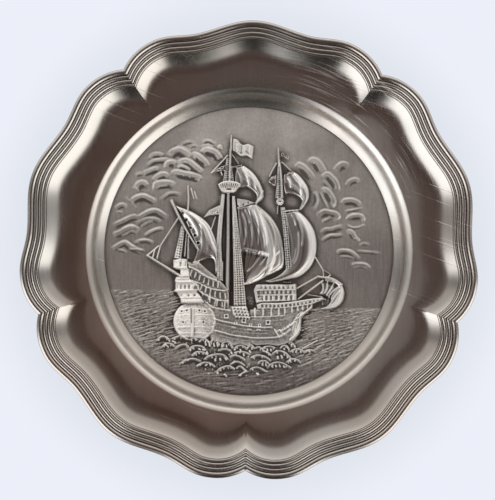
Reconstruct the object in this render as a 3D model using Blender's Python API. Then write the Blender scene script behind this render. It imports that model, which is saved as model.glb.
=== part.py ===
# Pewter wall plate: a five-lobed plate with a reeded rim, a flat band and a sunk round
# medallion that shows a galleon at sea in low relief. The plate is one casting.
# It hangs on a wall: the wall is the plane Y = 0, the plate faces -Y and +Z is up.
# Heights are measured from the wall towards the viewer, so a height h lies at Y = -h.

import math

import bmesh
import bpy
import numpy as np

# Medallion and well, in metres
MEDALLION_RADIUS = 0.0751
MEDALLION_RISE = 0.0004      # the medallion's ground above the floor of the well
GROOVE_WIDTH = 0.0004        # between the medallion and the foot of the wall
FLOOR_THICKNESS = 0.0026
WELL_DEPTH = 0.0084
WALL_SLOPE = math.radians(60)
SHOULDER_RADIUS = 0.0030
COVE_RADIUS = 0.0055

# Band, flange and reeded rim, from the inside out
BAND_WIDTH = 0.0057          # at its narrowest, inside a cusp
FLANGE_WIDTH = 0.0112
FLANGE_RISE = 0.0040
BEAD_WIDTH = 0.0018
BEAD_RISE = 0.0009
REED_COUNT = 2
REED_WIDTH = 0.0024
REED_RISE = 0.0012
ROLL_WIDTH = 0.0033
ROLL_RISE = 0.0017
METAL_THICKNESS = 0.0023

# Outline: each lobe has a wide middle bump and a small bump beside each cusp
LOBE_COUNT = 5
LOBE_TURN = math.radians(-1.1)  # the lobes sit a little clockwise of the ship
CUSP_TO_MIDDLE = 0.0051      # how much farther out the middle of a lobe lies than a cusp
CUSP_TO_DIP = 0.0014
CUSP_TO_BUMP = 0.0054
DIP_SHARE = 0.394            # where the dip and the bump lie between middle and cusp
BUMP_SHARE = 0.717
CUSP_SHARPNESS = 2.2

# Loop on the back for a nail or a hook
LOOP_SPAN = 0.0110           # between the middles of its two legs
LOOP_WIRE = 0.0011           # radius
LOOP_WALL_GAP = 0.0005
LOOP_ROOT = 0.0008           # how deep the legs are let into the band
LOOP_CORNER = 0.0020
LOOP_INSET = 0.0080          # its height up the band, from the ledge of the well

# Relief: figures are drawn in steps, and heights are in metres
DRAWING_STEPS = 144          # from the medallion's centre to its edge
SAIL_RISE = 0.0032
HULL_RISE = 0.0026
SPAR_RISE = 0.0022
WAVE_RISE = 0.0013
CLOUD_RISE = 0.0009
PORT_DEPTH = 0.0009

# Fineness of the mesh
LOBE_STATIONS = 18
RELIEF_CELLS = 250
RELIEF_TRIANGLES = 4450


# Sizes worked out from the ones above
def fitted_fillets():
    """Radii of the shoulder and the cove, limited by the height of the wall between them."""
    both = (SHOULDER_RADIUS + COVE_RADIUS) * (1 - math.cos(WALL_SLOPE))
    fit = min(1.0, 0.96 * WELL_DEPTH / both)
    return SHOULDER_RADIUS * fit, COVE_RADIUS * fit


def wall_section():
    """The wall of the well from its ledge inward: (distance inward, drop) pairs."""
    shoulder, cove = fitted_fillets()
    arcs = (shoulder + cove) * (1 - math.cos(WALL_SLOPE))
    straight = (WELL_DEPTH - arcs) / math.tan(WALL_SLOPE)
    section = []
    for share in (0.0, 0.55, 1.0):
        angle = WALL_SLOPE * share
        section.append((shoulder * math.sin(angle), shoulder * (1 - math.cos(angle))))
    width = (shoulder + cove) * math.sin(WALL_SLOPE) + straight
    for share in (1.0, 0.5, 0.0):
        angle = WALL_SLOPE * share
        section.append((width - cove * math.sin(angle), WELL_DEPTH - cove * (1 - math.cos(angle))))
    return section


FLOOR_RADIUS = MEDALLION_RADIUS + GROOVE_WIDTH
LEDGE_RADIUS = FLOOR_RADIUS + wall_section()[-1][0]
BAND_HEIGHT = FLOOR_THICKNESS + WELL_DEPTH
RIM_BASE = BAND_HEIGHT + FLANGE_RISE
RIM_WIDTH = ROLL_WIDTH + REED_COUNT * REED_WIDTH + BEAD_WIDTH
HALF_LOBE = math.pi / LOBE_COUNT
CUSP_SLOPE = (CUSP_TO_BUMP * CUSP_SHARPNESS) / (HALF_LOBE * (1 - BUMP_SHARE))


def cusp_radius():
    """Radius of the cusps, so that rim, flange and band fit between them and the ledge."""
    inner = LEDGE_RADIUS + BAND_WIDTH
    radius = inner + RIM_WIDTH + FLANGE_WIDTH
    for _ in range(8):
        radius = inner + (RIM_WIDTH + FLANGE_WIDTH) * math.hypot(1.0, CUSP_SLOPE / radius)
    return radius


CUSP_RADIUS = cusp_radius()


# Outline of the plate
def lobe_rise(share):
    """Distance of the outline outside the cusp circle; share runs from middle 0 to cusp 1."""
    if share <= DIP_SHARE:
        fall = (1 - math.cos(math.pi * share / DIP_SHARE)) / 2
        return CUSP_TO_MIDDLE + (CUSP_TO_DIP - CUSP_TO_MIDDLE) * fall
    if share <= BUMP_SHARE:
        climb = (1 - math.cos(math.pi * (share - DIP_SHARE) / (BUMP_SHARE - DIP_SHARE))) / 2
        return CUSP_TO_DIP + (CUSP_TO_BUMP - CUSP_TO_DIP) * climb
    return CUSP_TO_BUMP * (1 - ((share - BUMP_SHARE) / (1 - BUMP_SHARE)) ** CUSP_SHARPNESS)


def stations():
    """For each station round the plate: its angle, outline radius and mitre stretch."""
    step = 1e-4
    found = []
    for lobe in range(LOBE_COUNT):
        middle = math.pi / 2 + LOBE_TURN + lobe * 2 * HALF_LOBE
        for number in range(LOBE_STATIONS):
            share = 2.0 * number / LOBE_STATIONS - 1.0
            radius = CUSP_RADIUS + lobe_rise(abs(share))
            inner = min(abs(share), 1.0 - step)
            slope = (lobe_rise(inner + step) - lobe_rise(inner)) / (step * HALF_LOBE)
            found.append((middle + share * HALF_LOBE, radius, math.hypot(1.0, slope / radius)))
    return found


# Section of the plate: rings of (distance inside the outline, height) and of (radius, height)
def rim_section():
    """Roll, reeds and bead of the front, from the outline inward."""
    section = [
        (0.0, RIM_BASE - 0.1 * ROLL_RISE),
        (0.16 * ROLL_WIDTH, RIM_BASE + 0.75 * ROLL_RISE),
        (0.5 * ROLL_WIDTH, RIM_BASE + ROLL_RISE),
        (0.84 * ROLL_WIDTH, RIM_BASE + 0.75 * ROLL_RISE),
        (ROLL_WIDTH, RIM_BASE),
    ]
    for reed in range(REED_COUNT):
        start = ROLL_WIDTH + reed * REED_WIDTH
        section.append((start + 0.5 * REED_WIDTH, RIM_BASE + REED_RISE))
        section.append((start + REED_WIDTH, RIM_BASE))
    section.append((RIM_WIDTH - 0.5 * BEAD_WIDTH, RIM_BASE + BEAD_RISE))
    section.append((RIM_WIDTH, RIM_BASE))
    return section


def flange_section(shares, drop=0.0):
    """Concave flange between rim and band, lowered by drop for the back of the metal."""
    section = []
    for share in shares:
        height = BAND_HEIGHT + FLANGE_RISE * (1 - share) ** 2
        section.append((RIM_WIDTH + FLANGE_WIDTH * share, height - drop))
    return section


def plate_rings():
    """All rings of the plate, from the middle of the back round the rim to the front."""
    marks = stations()
    back = [
        (FLOOR_RADIUS + METAL_THICKNESS, 0.0),
        (FLOOR_RADIUS + 1.6 * METAL_THICKNESS, 0.25 * METAL_THICKNESS),
        (LEDGE_RADIUS + METAL_THICKNESS, BAND_HEIGHT - METAL_THICKNESS),
    ]
    back_lines = flange_section((1.0, 0.5), METAL_THICKNESS)
    back_lines += [
        (RIM_WIDTH, RIM_BASE - METAL_THICKNESS),
        (0.35 * ROLL_WIDTH, RIM_BASE - METAL_THICKNESS),
        (0.0, RIM_BASE - 0.6 * METAL_THICKNESS),
    ]
    wall = [(LEDGE_RADIUS - inward, BAND_HEIGHT - drop) for inward, drop in wall_section()]
    rings = [([radius] * len(marks), height) for radius, height in back]
    for distance, height in back_lines + rim_section() + flange_section((0.3, 0.62, 1.0)):
        rings.append(([radius - distance * stretch for _, radius, stretch in marks], height))
    rings += [([radius] * len(marks), height) for radius, height in wall]
    return [angle for angle, _, _ in marks], rings


def build_plate_body():
    """Loft the rings into the closed body of the plate, with flat floor and flat back."""
    angles, rings = plate_rings()
    bm = bmesh.new()
    loops = []
    for radii, height in rings:
        loop = []
        for angle, radius in zip(angles, radii):
            loop.append(bm.verts.new((radius * math.cos(angle), -height, radius * math.sin(angle))))
        loops.append(loop)
    count = len(angles)
    for inner, outer in zip(loops, loops[1:]):
        for a in range(count):
            b = (a + 1) % count
            bm.faces.new((inner[a], inner[b], outer[b], outer[a]))
    bm.faces.new(loops[0][::-1])
    bm.faces.new(loops[-1])
    bmesh.ops.recalc_face_normals(bm, faces=bm.faces)
    return mesh_object("plate", bm)


# Loop for hanging
def build_loop():
    """A square staple of wire on the back of the band, above the well."""
    root = BAND_HEIGHT - METAL_THICKNESS + LOOP_ROOT
    crown = LOOP_WALL_GAP + LOOP_WIRE
    half = LOOP_SPAN / 2
    corner = min(LOOP_CORNER, 0.8 * half, 0.8 * (root - crown))
    path = [(-half, root)]
    for centre, first in (((-half + corner, crown + corner), 180), ((half - corner, crown + corner), 270)):
        for turn in (0, 30, 60, 90):
            angle = math.radians(first + turn)
            path.append((centre[0] + corner * math.cos(angle), centre[1] + corner * math.sin(angle)))
    path.append((half, root))
    curve = bpy.data.curves.new("loop", "CURVE")
    curve.dimensions = "3D"
    curve.bevel_depth = LOOP_WIRE
    curve.bevel_resolution = 1
    curve.use_fill_caps = True
    spline = curve.splines.new("POLY")
    spline.points.add(len(path) - 1)
    up = LEDGE_RADIUS + LOOP_INSET
    for point, (x, height) in zip(spline.points, path):
        point.co = (x, -height, up, 1.0)
    holder = bpy.data.objects.new("loop", curve)
    bpy.context.scene.collection.objects.link(holder)
    bm = bmesh.new()
    bm.from_mesh(evaluated_mesh(holder))
    bmesh.ops.remove_doubles(bm, verts=bm.verts, dist=0.00001)
    bmesh.ops.recalc_face_normals(bm, faces=bm.faces)
    bpy.data.objects.remove(holder)
    return mesh_object("hanging_loop", bm)


# Drawing tools for the relief; x and z are arrays of places in steps
def smooth_line(points, cuts=5):
    """Points along a smooth curve through the given ones."""
    ends = [points[0], *points, points[-1]]
    line = []
    for p0, p1, p2, p3 in zip(ends, ends[1:], ends[2:], ends[3:]):
        for cut in range(cuts):
            t = cut / cuts
            weights = (-t + 2 * t ** 2 - t ** 3, 2 - 5 * t ** 2 + 3 * t ** 3,
                       t + 4 * t ** 2 - 3 * t ** 3, t ** 3 - t ** 2)
            line.append(tuple(
                sum(w * p[axis] for w, p in zip(weights, (p0, p1, p2, p3))) / 2 for axis in (0, 1)
            ))
    return line + [tuple(points[-1])]


def distance_to_line(line, x, z):
    near = np.full(x.shape, np.inf)
    for (ax, az), (bx, bz) in zip(line, line[1:]):
        dx, dz = bx - ax, bz - az
        t = np.clip(((x - ax) * dx + (z - az) * dz) / (dx * dx + dz * dz + 1e-9), 0, 1)
        near = np.minimum(near, np.hypot(x - ax - t * dx, z - az - t * dz))
    return near


def depth_inside(outline, x, z):
    """Distance from each place to a closed outline, below zero outside it."""
    closed = list(outline) + [outline[0]]
    within = np.zeros(x.shape, bool)
    for (ax, az), (bx, bz) in zip(closed, closed[1:]):
        if az != bz:
            within ^= ((az > z) != (bz > z)) & (x < ax + (z - az) * (bx - ax) / (bz - az))
    near = distance_to_line(closed, x, z)
    return np.where(within, near, -near)


def rounded(depth, width):
    """A quarter-round climb from 0 to 1 over the given width."""
    t = np.clip(depth / width, 0, 1)
    return np.sqrt(1 - (1 - t) ** 2)


def block(outline, rise, edge=1.6):
    """A raised patch with a flat top and rounded edges."""
    return lambda x, z: rise * rounded(depth_inside(outline, x, z), edge)


def round_outline(centre, half_width, half_height, sides=28):
    turns = [2 * math.pi * side / sides for side in range(sides)]
    return [(centre[0] + half_width * math.cos(t), centre[1] + half_height * math.sin(t)) for t in turns]


def spar(start, end, thick_start, thick_end, rise=SPAR_RISE):
    """A tapered half-round bar, such as a mast, a yard or a heavy rope."""
    def height(x, z):
        dx, dz = end[0] - start[0], end[1] - start[1]
        t = np.clip(((x - start[0]) * dx + (z - start[1]) * dz) / (dx * dx + dz * dz), 0, 1)
        away = np.hypot(x - start[0] - t * dx, z - start[1] - t * dz)
        thick = thick_start + (thick_end - thick_start) * t
        return np.where(away < thick, rise * np.sqrt(1 - np.minimum(away / thick, 1) ** 2), 0.0)
    return height


def sail(leech, inner, rise=SAIL_RISE, roll=9.0, hollow=0.32):
    """A sail that swells towards its outer edge, the leech, and is hollow inside."""
    outer_line = smooth_line(leech)
    outline = outer_line + smooth_line(inner)[:-1]

    def height(x, z):
        depth = depth_inside(outline, x, z)
        from_leech = distance_to_line(outer_line, x, z)
        swell = hollow + (1 - hollow) * np.exp(-np.maximum(from_leech - roll, 0) / (1.6 * roll))
        return np.where(depth > 0, rise * swell * rounded(from_leech, roll) * rounded(depth, 1.2), 0.0)
    return height


def puff(centre, half_width, half_height, rise=CLOUD_RISE, tilt=0.0):
    """A scalloped swell, steep above and fading below: a cloud or a wave."""
    turn = math.radians(tilt)

    def height(x, z):
        dx, dz = x - centre[0], z - centre[1]
        along = (dx * math.cos(turn) + dz * math.sin(turn)) / half_width
        across = (dz * math.cos(turn) - dx * math.sin(turn)) / half_height
        reach = np.clip(1 - np.hypot(along, across), 0, 1)
        return rise * rounded(reach, 0.35) * np.clip(0.75 + 0.6 * across, 0, 1)
    return height


# The figures, in steps from the medallion's centre, right and up
def clouds():
    left = (
        (-60, 84, 16, 10, 8), (-36, 88, 20, 12, -20), (-82, 82, 15, 8, 20), (-95, 66, 12, 8, 25),
        (-60, 66, 22, 10, -12), (-105, 52, 11, 9, 0), (-80, 55, 12, 9, 15), (-98, 32, 13, 9, 0),
        (-124, 24, 11, 7, 0), (-88, 18, 18, 7, 10), (-116, 8, 15, 6, 5), (-120, -8, 18, 6, 8),
        (-94, -2, 16, 5, 10), (-78, 38, 14, 6, 15),
    )
    right = (
        (60, 88, 13, 10, -25), (76, 70, 12, 9, -35), (97, 84, 11, 8, 0), (106, 66, 12, 7, 0),
        (80, 50, 9, 15, 10), (102, 44, 13, 8, 0), (80, 34, 13, 7, 0), (107, 28, 12, 8, 0),
        (82, 18, 12, 6, 5), (112, 6, 16, 4, -5), (112, -14, 12, 5, -8), (62, 62, 10, 16, 12),
    )
    return [puff((x, z), w, h, tilt=tilt) for x, z, w, h, tilt in left + right]


def sea():
    swells = (
        (-96, -84, 13, 6, 10), (-78, -92, 12, 6, 0), (-62, -100, 14, 6, 0), (-46, -104, 16, 6, 6),
        (-22, -98, 11, 6, 0), (-4, -100, 12, 6, -4), (12, -104, 14, 6, -8), (30, -98, 13, 6, -6),
        (46, -96, 12, 6, 0), (60, -100, 11, 6, 6), (-30, -112, 22, 6, 4), (6, -116, 20, 6, -4),
        (36, -112, 18, 6, 0), (-8, -126, 24, 6, 2), (24, -122, 18, 5, 0), (-50, -116, 18, 5, 8),
    )
    return [puff((x, z), w, h, WAVE_RISE, tilt) for x, z, w, h, tilt in swells]


def hull():
    side = [(-62, -14), (-38, -28), (-21, -42), (-20, -54), (2, -60), (40, -58), (72, -48),
            (60, -58), (53, -67), (51, -78), (47, -86), (38, -92), (-34, -94), (-48, -70), (-56, -40)]
    galleries = [(-60, -16), (-38, -30), (-21, -43), (-21, -52), (-40, -44), (-56, -30)]
    forecastle = [(5, -33), (47, -33), (47, -51), (11, -54), (5, -46)]
    stern_castle = [(-76, -9), (-62, -9), (-60, -24), (-54, -30), (-53, -41), (-44, -52),
                    (-68, -52), (-73, -41), (-74, -27)]
    stern = round_outline((-54.5, -70.5), 21.5, 20.0)
    beak_rail = [(9, -54), (40, -55), (72, -47), (74, -50), (40, -61), (9, -60)]
    return [
        block(side, 0.75 * HULL_RISE, 5.0),
        block(galleries, HULL_RISE, 2.0),
        block(forecastle, HULL_RISE, 2.0),
        block(beak_rail, HULL_RISE, 1.5),
        block(stern, 1.1 * HULL_RISE, 6.0),
        block(stern_castle, 1.1 * HULL_RISE, 2.2),
        spar((-74, -63), (-35, -63), 1.5, 1.5, 1.3 * HULL_RISE),
        spar((-59.5, -66), (-59.5, -89), 1.8, 2.6, 1.3 * HULL_RISE),
        *wale(-68, -77, -76),
        *wale(-80, -88, -88),
    ]


def wale(aft, middle, fore):
    """A raised strake along the side, from the stern past the middle to the bow."""
    return [
        spar((-34, aft), (6, middle), 1.4, 1.4, 1.05 * HULL_RISE),
        spar((6, middle), (34, fore), 1.4, 1.4, 1.05 * HULL_RISE),
    ]


def openings():
    """Gun ports in the side and the stern, and windows over the stern's rail."""
    ports = [(-6, -70, 2.4), (10, -75, 2.4), (19, -72, 2.4), (27, -69, 2.4), (-68, -71, 2.4),
             (-47, -72, 2.4), (-65, -57, 1.9), (-56, -56.5, 1.9), (-47, -57, 1.9)]
    cuts = []
    for x, z, half in ports:
        outline = [(x - half, z - half), (x + half, z - half), (x + half, z + half), (x - half, z + half)]
        cuts.append(block(outline, PORT_DEPTH))
    return cuts


def masts():
    return [
        spar((-18, 115), (-20, 64), 1.2, 1.8),
        spar((-20, 66), (-22, -42), 1.9, 2.2),
        spar((-24, 56), (-31, -32), 2.2, 2.8, 0.75 * SPAR_RISE),
        spar((-14.5, 56), (-8.5, -58), 2.4, 6.4, 0.85 * SPAR_RISE),
        spar((29, 103), (32, 52), 1.1, 1.8),
        spar((33, 44), (39, -18), 2.0, 2.6),
        spar((-61, 65), (-61, -9), 1.1, 1.4, 0.8 * SPAR_RISE),
        spar((-67, 27), (-72, -8), 1.8, 2.8, 0.8 * SPAR_RISE),
        block([(-31, 69), (-9, 69), (-13, 57), (-26, 57)], 1.1 * SPAR_RISE, 2.5),
        puff((31, 50), 6, 6, SPAR_RISE),
    ]


def rigging():
    main_yard = [(-47, 32), (-30, 46), (-13, 54), (8, 47), (-12, 41), (-28, 37)]
    top_yard = [(-38, 77), (-28, 86), (-14, 88), (-6, 88), (-14, 82), (-27, 79)]
    fore_yard = [(17, 70), (26, 77), (45, 81), (44, 77), (34, 73), (26, 62)]
    flag = [(-15, 110), (-8, 111), (-4, 106), (5, 106), (3, 93), (-5, 96), (-15, 101)]
    return [
        block(main_yard, 0.8 * SPAR_RISE),
        block(top_yard, 0.8 * SPAR_RISE),
        block(fore_yard, 0.8 * SPAR_RISE),
        block(flag, 0.5 * SPAR_RISE),
        spar((-78, 51), (-51, 1), 1.5, 1.3, 1.2 * SPAR_RISE),
        spar((-71, 35), (-102, -4), 1.1, 1.1, 0.6 * SPAR_RISE),
        spar((-102, -4), (-62, -28), 1.3, 1.6),
        spar((37, 42), (48, 42), 1.3, 1.2),
        spar((49, -48), (76, -28), 1.4, 1.1, 0.9 * SPAR_RISE),
        spar((47, -38), (72, -24), 1.1, 1.1, 0.6 * SPAR_RISE),
        spar((66, -6), (76, -26), 1.1, 1.1, 0.6 * SPAR_RISE),
    ]


def sails():
    return [
        sail([(-6, 88), (5, 77), (13, 66), (15.5, 57), (10, 48)],
             [(10, 48), (7, 57), (-2, 63), (-14, 62), (-14, 84)], 0.7 * SAIL_RISE, 6),
        sail([(7, 48), (21, 36), (29, 24), (34, 8), (36.5, -9), (33, -18), (19, -29), (-3, -36)],
             [(-3, -36), (13, -26), (21, -5), (8, 1), (-12, 3), (-13, 42)], SAIL_RISE, 10),
        sail([(45, 81), (56, 69), (61.5, 57), (60, 49), (50, 40)],
             [(50, 40), (54, 50), (46, 57), (34, 58), (34, 75)], 0.7 * SAIL_RISE, 6),
        sail([(48, 41), (61, 28), (68, 8), (67, -3), (58, -21), (46, -29), (20, -34)],
             [(20, -34), (38, -20), (41, -8), (37, 10), (37, 40)], SAIL_RISE, 9),
        sail([(-72, 43), (-60, 40), (-45, 30), (-36, 17), (-31, 2), (-30, -15), (-34, -29)],
             [(-34, -29), (-34, -14), (-41, -7), (-54, -11), (-50, 0), (-54, 20), (-72, 43)],
             0.85 * SAIL_RISE, 9),
        sail([(76, -27), (92, -33), (96.5, -42), (92, -51), (84, -57), (66, -58)],
             [(66, -58), (82, -52), (89, -43), (84, -33), (76, -27)], 0.8 * SAIL_RISE, 5),
    ]


def relief_height(x, z):
    """Height of the relief over the medallion's ground, in metres."""
    total = np.zeros(x.shape)
    for figure in clouds() + sea() + sails() + hull() + rigging() + masts():
        total = np.maximum(total, figure(x, z))
    for cut in openings():
        total = total - cut(x, z)
    edge = DRAWING_STEPS - np.hypot(x, z)
    return total * np.clip(edge / 6, 0, 1)


def build_relief():
    """The medallion: a disc let into the floor, its face raised by the figures."""
    bm = bmesh.new()
    bmesh.ops.create_grid(bm, x_segments=RELIEF_CELLS, y_segments=RELIEF_CELLS, size=1.0)
    flat = np.array([vert.co[:2] for vert in bm.verts])
    x = flat[:, 0] * np.sqrt(1 - flat[:, 1] ** 2 / 2)
    z = flat[:, 1] * np.sqrt(1 - flat[:, 0] ** 2 / 2)
    height = relief_height(x * DRAWING_STEPS, z * DRAWING_STEPS)
    ground = FLOOR_THICKNESS + MEDALLION_RISE
    for vert, px, pz, rise in zip(bm.verts, x, z, height):
        vert.co = (px * MEDALLION_RADIUS, -ground - rise, pz * MEDALLION_RADIUS)
    face = mesh_object("relief_face", bm)
    thin = face.modifiers.new("thin", "DECIMATE")
    thin.ratio = RELIEF_TRIANGLES / (2 * RELIEF_CELLS ** 2)
    bm = bmesh.new()
    bm.from_mesh(evaluated_mesh(face))
    bpy.data.objects.remove(face)
    rim = [edge for edge in bm.edges if edge.is_boundary]
    skirt = bmesh.ops.extrude_edge_only(bm, edges=rim)["geom"]
    sunk = [part for part in skirt if isinstance(part, bmesh.types.BMVert)]
    for vert in sunk:
        vert.co.y = -FLOOR_THICKNESS / 2
    bmesh.ops.contextual_create(bm, geom=[edge for edge in bm.edges if edge.is_boundary])
    bmesh.ops.recalc_face_normals(bm, faces=bm.faces)
    return mesh_object("relief", bm)


# Scene
def evaluated_mesh(obj):
    bpy.context.view_layer.update()
    depsgraph = bpy.context.evaluated_depsgraph_get()
    return bpy.data.meshes.new_from_object(obj.evaluated_get(depsgraph))


def mesh_object(name, bm):
    mesh = bpy.data.meshes.new(name)
    bm.to_mesh(mesh)
    bm.free()
    obj = bpy.data.objects.new(name, mesh)
    bpy.context.scene.collection.objects.link(obj)
    return obj


def move_to(collection, obj):
    for owner in list(obj.users_collection):
        owner.objects.unlink(obj)
    collection.objects.link(obj)


def pewter():
    material = bpy.data.materials.new("pewter")
    material.use_nodes = True
    shader = material.node_tree.nodes["Principled BSDF"]
    shader.inputs["Base Color"].default_value = (0.36, 0.33, 0.30, 1.0)
    shader.inputs["Metallic"].default_value = 1.0
    shader.inputs["Roughness"].default_value = 0.34
    return material


def main():
    for obj in list(bpy.data.objects):
        bpy.data.objects.remove(obj)
    parts = bpy.data.collections.new("pewter_wall_plate")
    cutters = bpy.data.collections.new("joined_shapes")
    bpy.context.scene.collection.children.link(parts)
    bpy.context.scene.collection.children.link(cutters)
    plate = build_plate_body()
    plate.data.materials.append(pewter())
    move_to(parts, plate)
    for shape in (build_relief(), build_loop()):
        move_to(cutters, shape)
        shape.hide_render = True
        shape.display_type = "WIRE"
        union = plate.modifiers.new("join_" + shape.name, "BOOLEAN")
        union.operation = "UNION"
        union.object = shape
    for face in plate.data.polygons:
        face.use_smooth = True
    plate.data.set_sharp_from_angle(angle=math.radians(35))


main()
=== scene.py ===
# Pewter wall plate with a galleon in relief: the looks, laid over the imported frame.
# The plate hangs on the wall Y = 0 and faces -Y. Heights are measured from the wall.
import math
import bpy
import mathutils
import numpy as np
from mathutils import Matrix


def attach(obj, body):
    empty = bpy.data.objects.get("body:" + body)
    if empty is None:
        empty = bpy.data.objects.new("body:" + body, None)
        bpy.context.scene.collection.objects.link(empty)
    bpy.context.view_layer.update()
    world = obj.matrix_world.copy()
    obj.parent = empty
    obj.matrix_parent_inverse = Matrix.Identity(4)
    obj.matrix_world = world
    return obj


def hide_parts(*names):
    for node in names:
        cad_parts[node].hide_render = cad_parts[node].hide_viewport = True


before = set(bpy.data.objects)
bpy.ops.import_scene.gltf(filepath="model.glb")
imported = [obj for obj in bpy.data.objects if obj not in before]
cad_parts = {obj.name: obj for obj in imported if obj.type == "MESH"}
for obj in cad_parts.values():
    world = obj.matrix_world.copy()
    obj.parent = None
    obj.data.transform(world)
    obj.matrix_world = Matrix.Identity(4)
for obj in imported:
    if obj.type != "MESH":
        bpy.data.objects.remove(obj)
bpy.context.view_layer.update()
print("frame loaded")

# Sizes of the plate, in metres
plate = {
    "medallionRadius": 0.0755,
    "medallionRise": 0.0004,
    "grooveWidth": 0.0002,
    "floorThickness": 0.0026,
    "wellDepth": 0.0084,
    "wallSlope": math.radians(60),
    "shoulderRadius": 0.0060,
    "shoulderStart": math.radians(15),
    "coveRadius": 0.0118,
    "coveStart": math.radians(20),
    "bandOuter": 0.090957,
    "flangeWidth": 0.0112,
    "flangeRise": 0.0040,
    "beadWidth": 0.0018,
    "beadRise": 0.0009,
    "reedCount": 2,
    "reedWidth": 0.0024,
    "reedRise": 0.0012,
    "rollWidth": 0.0033,
    "rollRise": 0.0017,
    "metal": 0.0023,
    "lobes": 5,
    "lobeTurn": math.radians(-1.1),
    "cuspToMiddle": 0.0051,
    "cuspToDip": 0.0014,
    "cuspToBump": 0.0054,
    "dipShare": 0.394,
    "bumpShare": 0.717,
    "cuspSharpness": 2.2,
    "stations": 640,       # round the plate
}
# Old patina of the metal: 0 is clean, 1 is darkest, and below zero is rubbed bright
tarnish = {
    # crown is the painted shade laid on the wall by angle
    "back": 0.15, "rimFoot": 0.1, "groove": 1.0, "shoulder": -1.0, "cove": -0.35, "crown": 0.7,
    "floorEdge": 0.6, "floor": 1.0, "loop": 0.2,
}
# painted shade on the crown of the wall: how dark, by its angle in degrees round the plate
crownPaintedShade = [(0, 0.3), (15, 0.25), (30, 0), (50, 0), (62, 0.5), (75, 0.95), (105, 0.95), (116, 0.88),
              (128, 0.7), (150, 0.45), (170, 0.4), (190, 0.34), (215, 0), (335, 0), (350, 0.25), (360, 0.3)]
loop = {"span": 0.0110, "wire": 0.0011, "wallGap": 0.0005, "root": 0.0008, "corner": 0.0020, "inset": 0.0080}

# The relief is drawn on a sheet, x to the right and y down, whose middle is the plate's middle. A window
# is the left, top, right and bottom of a part of it, and clayCell the fineness of the clay there
sheet = {"middleX": 249.0, "middleY": 251.0, "radius": 143.9, "window": (104, 106, 394, 396), "clayCell": 0.4}
stepSize = plate["medallionRadius"] / sheet["radius"]
millimetre = 0.001
groundHeight = plate["floorThickness"] + plate["medallionRise"]

floorRadius = plate["medallionRadius"] + plate["grooveWidth"]
bandHeight = plate["floorThickness"] + plate["wellDepth"]
rimBase = bandHeight + plate["flangeRise"]
rimWidth = plate["rollWidth"] + plate["reedCount"] * plate["reedWidth"] + plate["beadWidth"]
halfLobe = math.pi / plate["lobes"]


# The plate's body: rings of points swept round the lobed outline
def wallSection(cuts=9):
    # (inward, drop) pairs from the ledge over the shoulder and down into the cove
    slope, shoulder, cove = plate["wallSlope"], plate["shoulderRadius"], plate["coveRadius"]
    top, start = plate["shoulderStart"], plate["coveStart"]
    arcs = shoulder * (math.cos(top) - math.cos(slope)) + cove * (math.cos(start) - math.cos(slope))
    straight = (plate["wellDepth"] - arcs) / math.tan(slope)
    width = shoulder * (math.sin(slope) - math.sin(top)) + straight + cove * (math.sin(slope) - math.sin(start))
    section = [(-0.00016, 0.0)]
    for i in range(cuts + 1):
        a = top + (slope - top) * i / cuts
        section.append((shoulder * (math.sin(a) - math.sin(top)), shoulder * (math.cos(top) - math.cos(a))))
    for i in range(cuts + 3):
        a = slope + (start - slope) * i / (cuts + 2)
        drop = plate["wellDepth"] - cove * (math.cos(start) - math.cos(a))
        section.append((width - cove * (math.sin(a) - math.sin(start)), drop))
    return section


ledgeRadius = floorRadius + wallSection()[-1][0]


def lobeRise(share):
    # how far the outline stands outside the cusps; share runs from a lobe's middle 0 to its cusp 1
    middle, dip, bump = plate["cuspToMiddle"], plate["cuspToDip"], plate["cuspToBump"]
    if share <= plate["dipShare"]:
        fall = (1 - math.cos(math.pi * share / plate["dipShare"])) / 2
        return middle + (dip - middle) * fall
    if share <= plate["bumpShare"]:
        climb = (share - plate["dipShare"]) / (plate["bumpShare"] - plate["dipShare"])
        return dip + (bump - dip) * (1 - math.cos(math.pi * climb)) / 2
    left = (share - plate["bumpShare"]) / (1 - plate["bumpShare"])
    return bump * (1 - left ** plate["cuspSharpness"])


def cuspRadius():
    slope = plate["cuspToBump"] * plate["cuspSharpness"] / (halfLobe * (1 - plate["bumpShare"]))
    inner = plate["bandOuter"]
    radius = inner + rimWidth + plate["flangeWidth"]
    for _ in range(8):
        radius = inner + (rimWidth + plate["flangeWidth"]) * math.hypot(1.0, slope / radius)
    return radius


def outlineStations():
    # angle, outline radius and mitre stretch; stations crowd a little towards the cusps
    perLobe = plate["stations"] // plate["lobes"]
    base, step = cuspRadius(), 1e-4
    found = []
    for lobe in range(plate["lobes"]):
        middle = math.pi / 2 + plate["lobeTurn"] + lobe * 2 * halfLobe
        for number in range(perLobe):
            even = 2.0 * number / perLobe - 1.0
            share = even + 0.10 * math.sin(math.pi * even)
            share = max(-1.0, min(1.0, share))
            near = min(abs(share), 1.0 - step)
            radius = base + lobeRise(abs(share))
            slope = (lobeRise(near + step) - lobeRise(near)) / (step * halfLobe)
            found.append((middle + share * halfLobe, radius, math.hypot(1.0, slope / radius)))
    return np.array(found)


def ridge(start, width, rise, cuts, fullness=2.0):
    # points over a rounded ridge from its outer foot to its inner one
    points = []
    for i in range(cuts + 1):
        a = math.pi * i / cuts
        top = abs(math.sin(a)) ** (2 / fullness)
        points.append((start + width * (1 - math.cos(a)) / 2, rimBase + rise * top))
    return points


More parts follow.
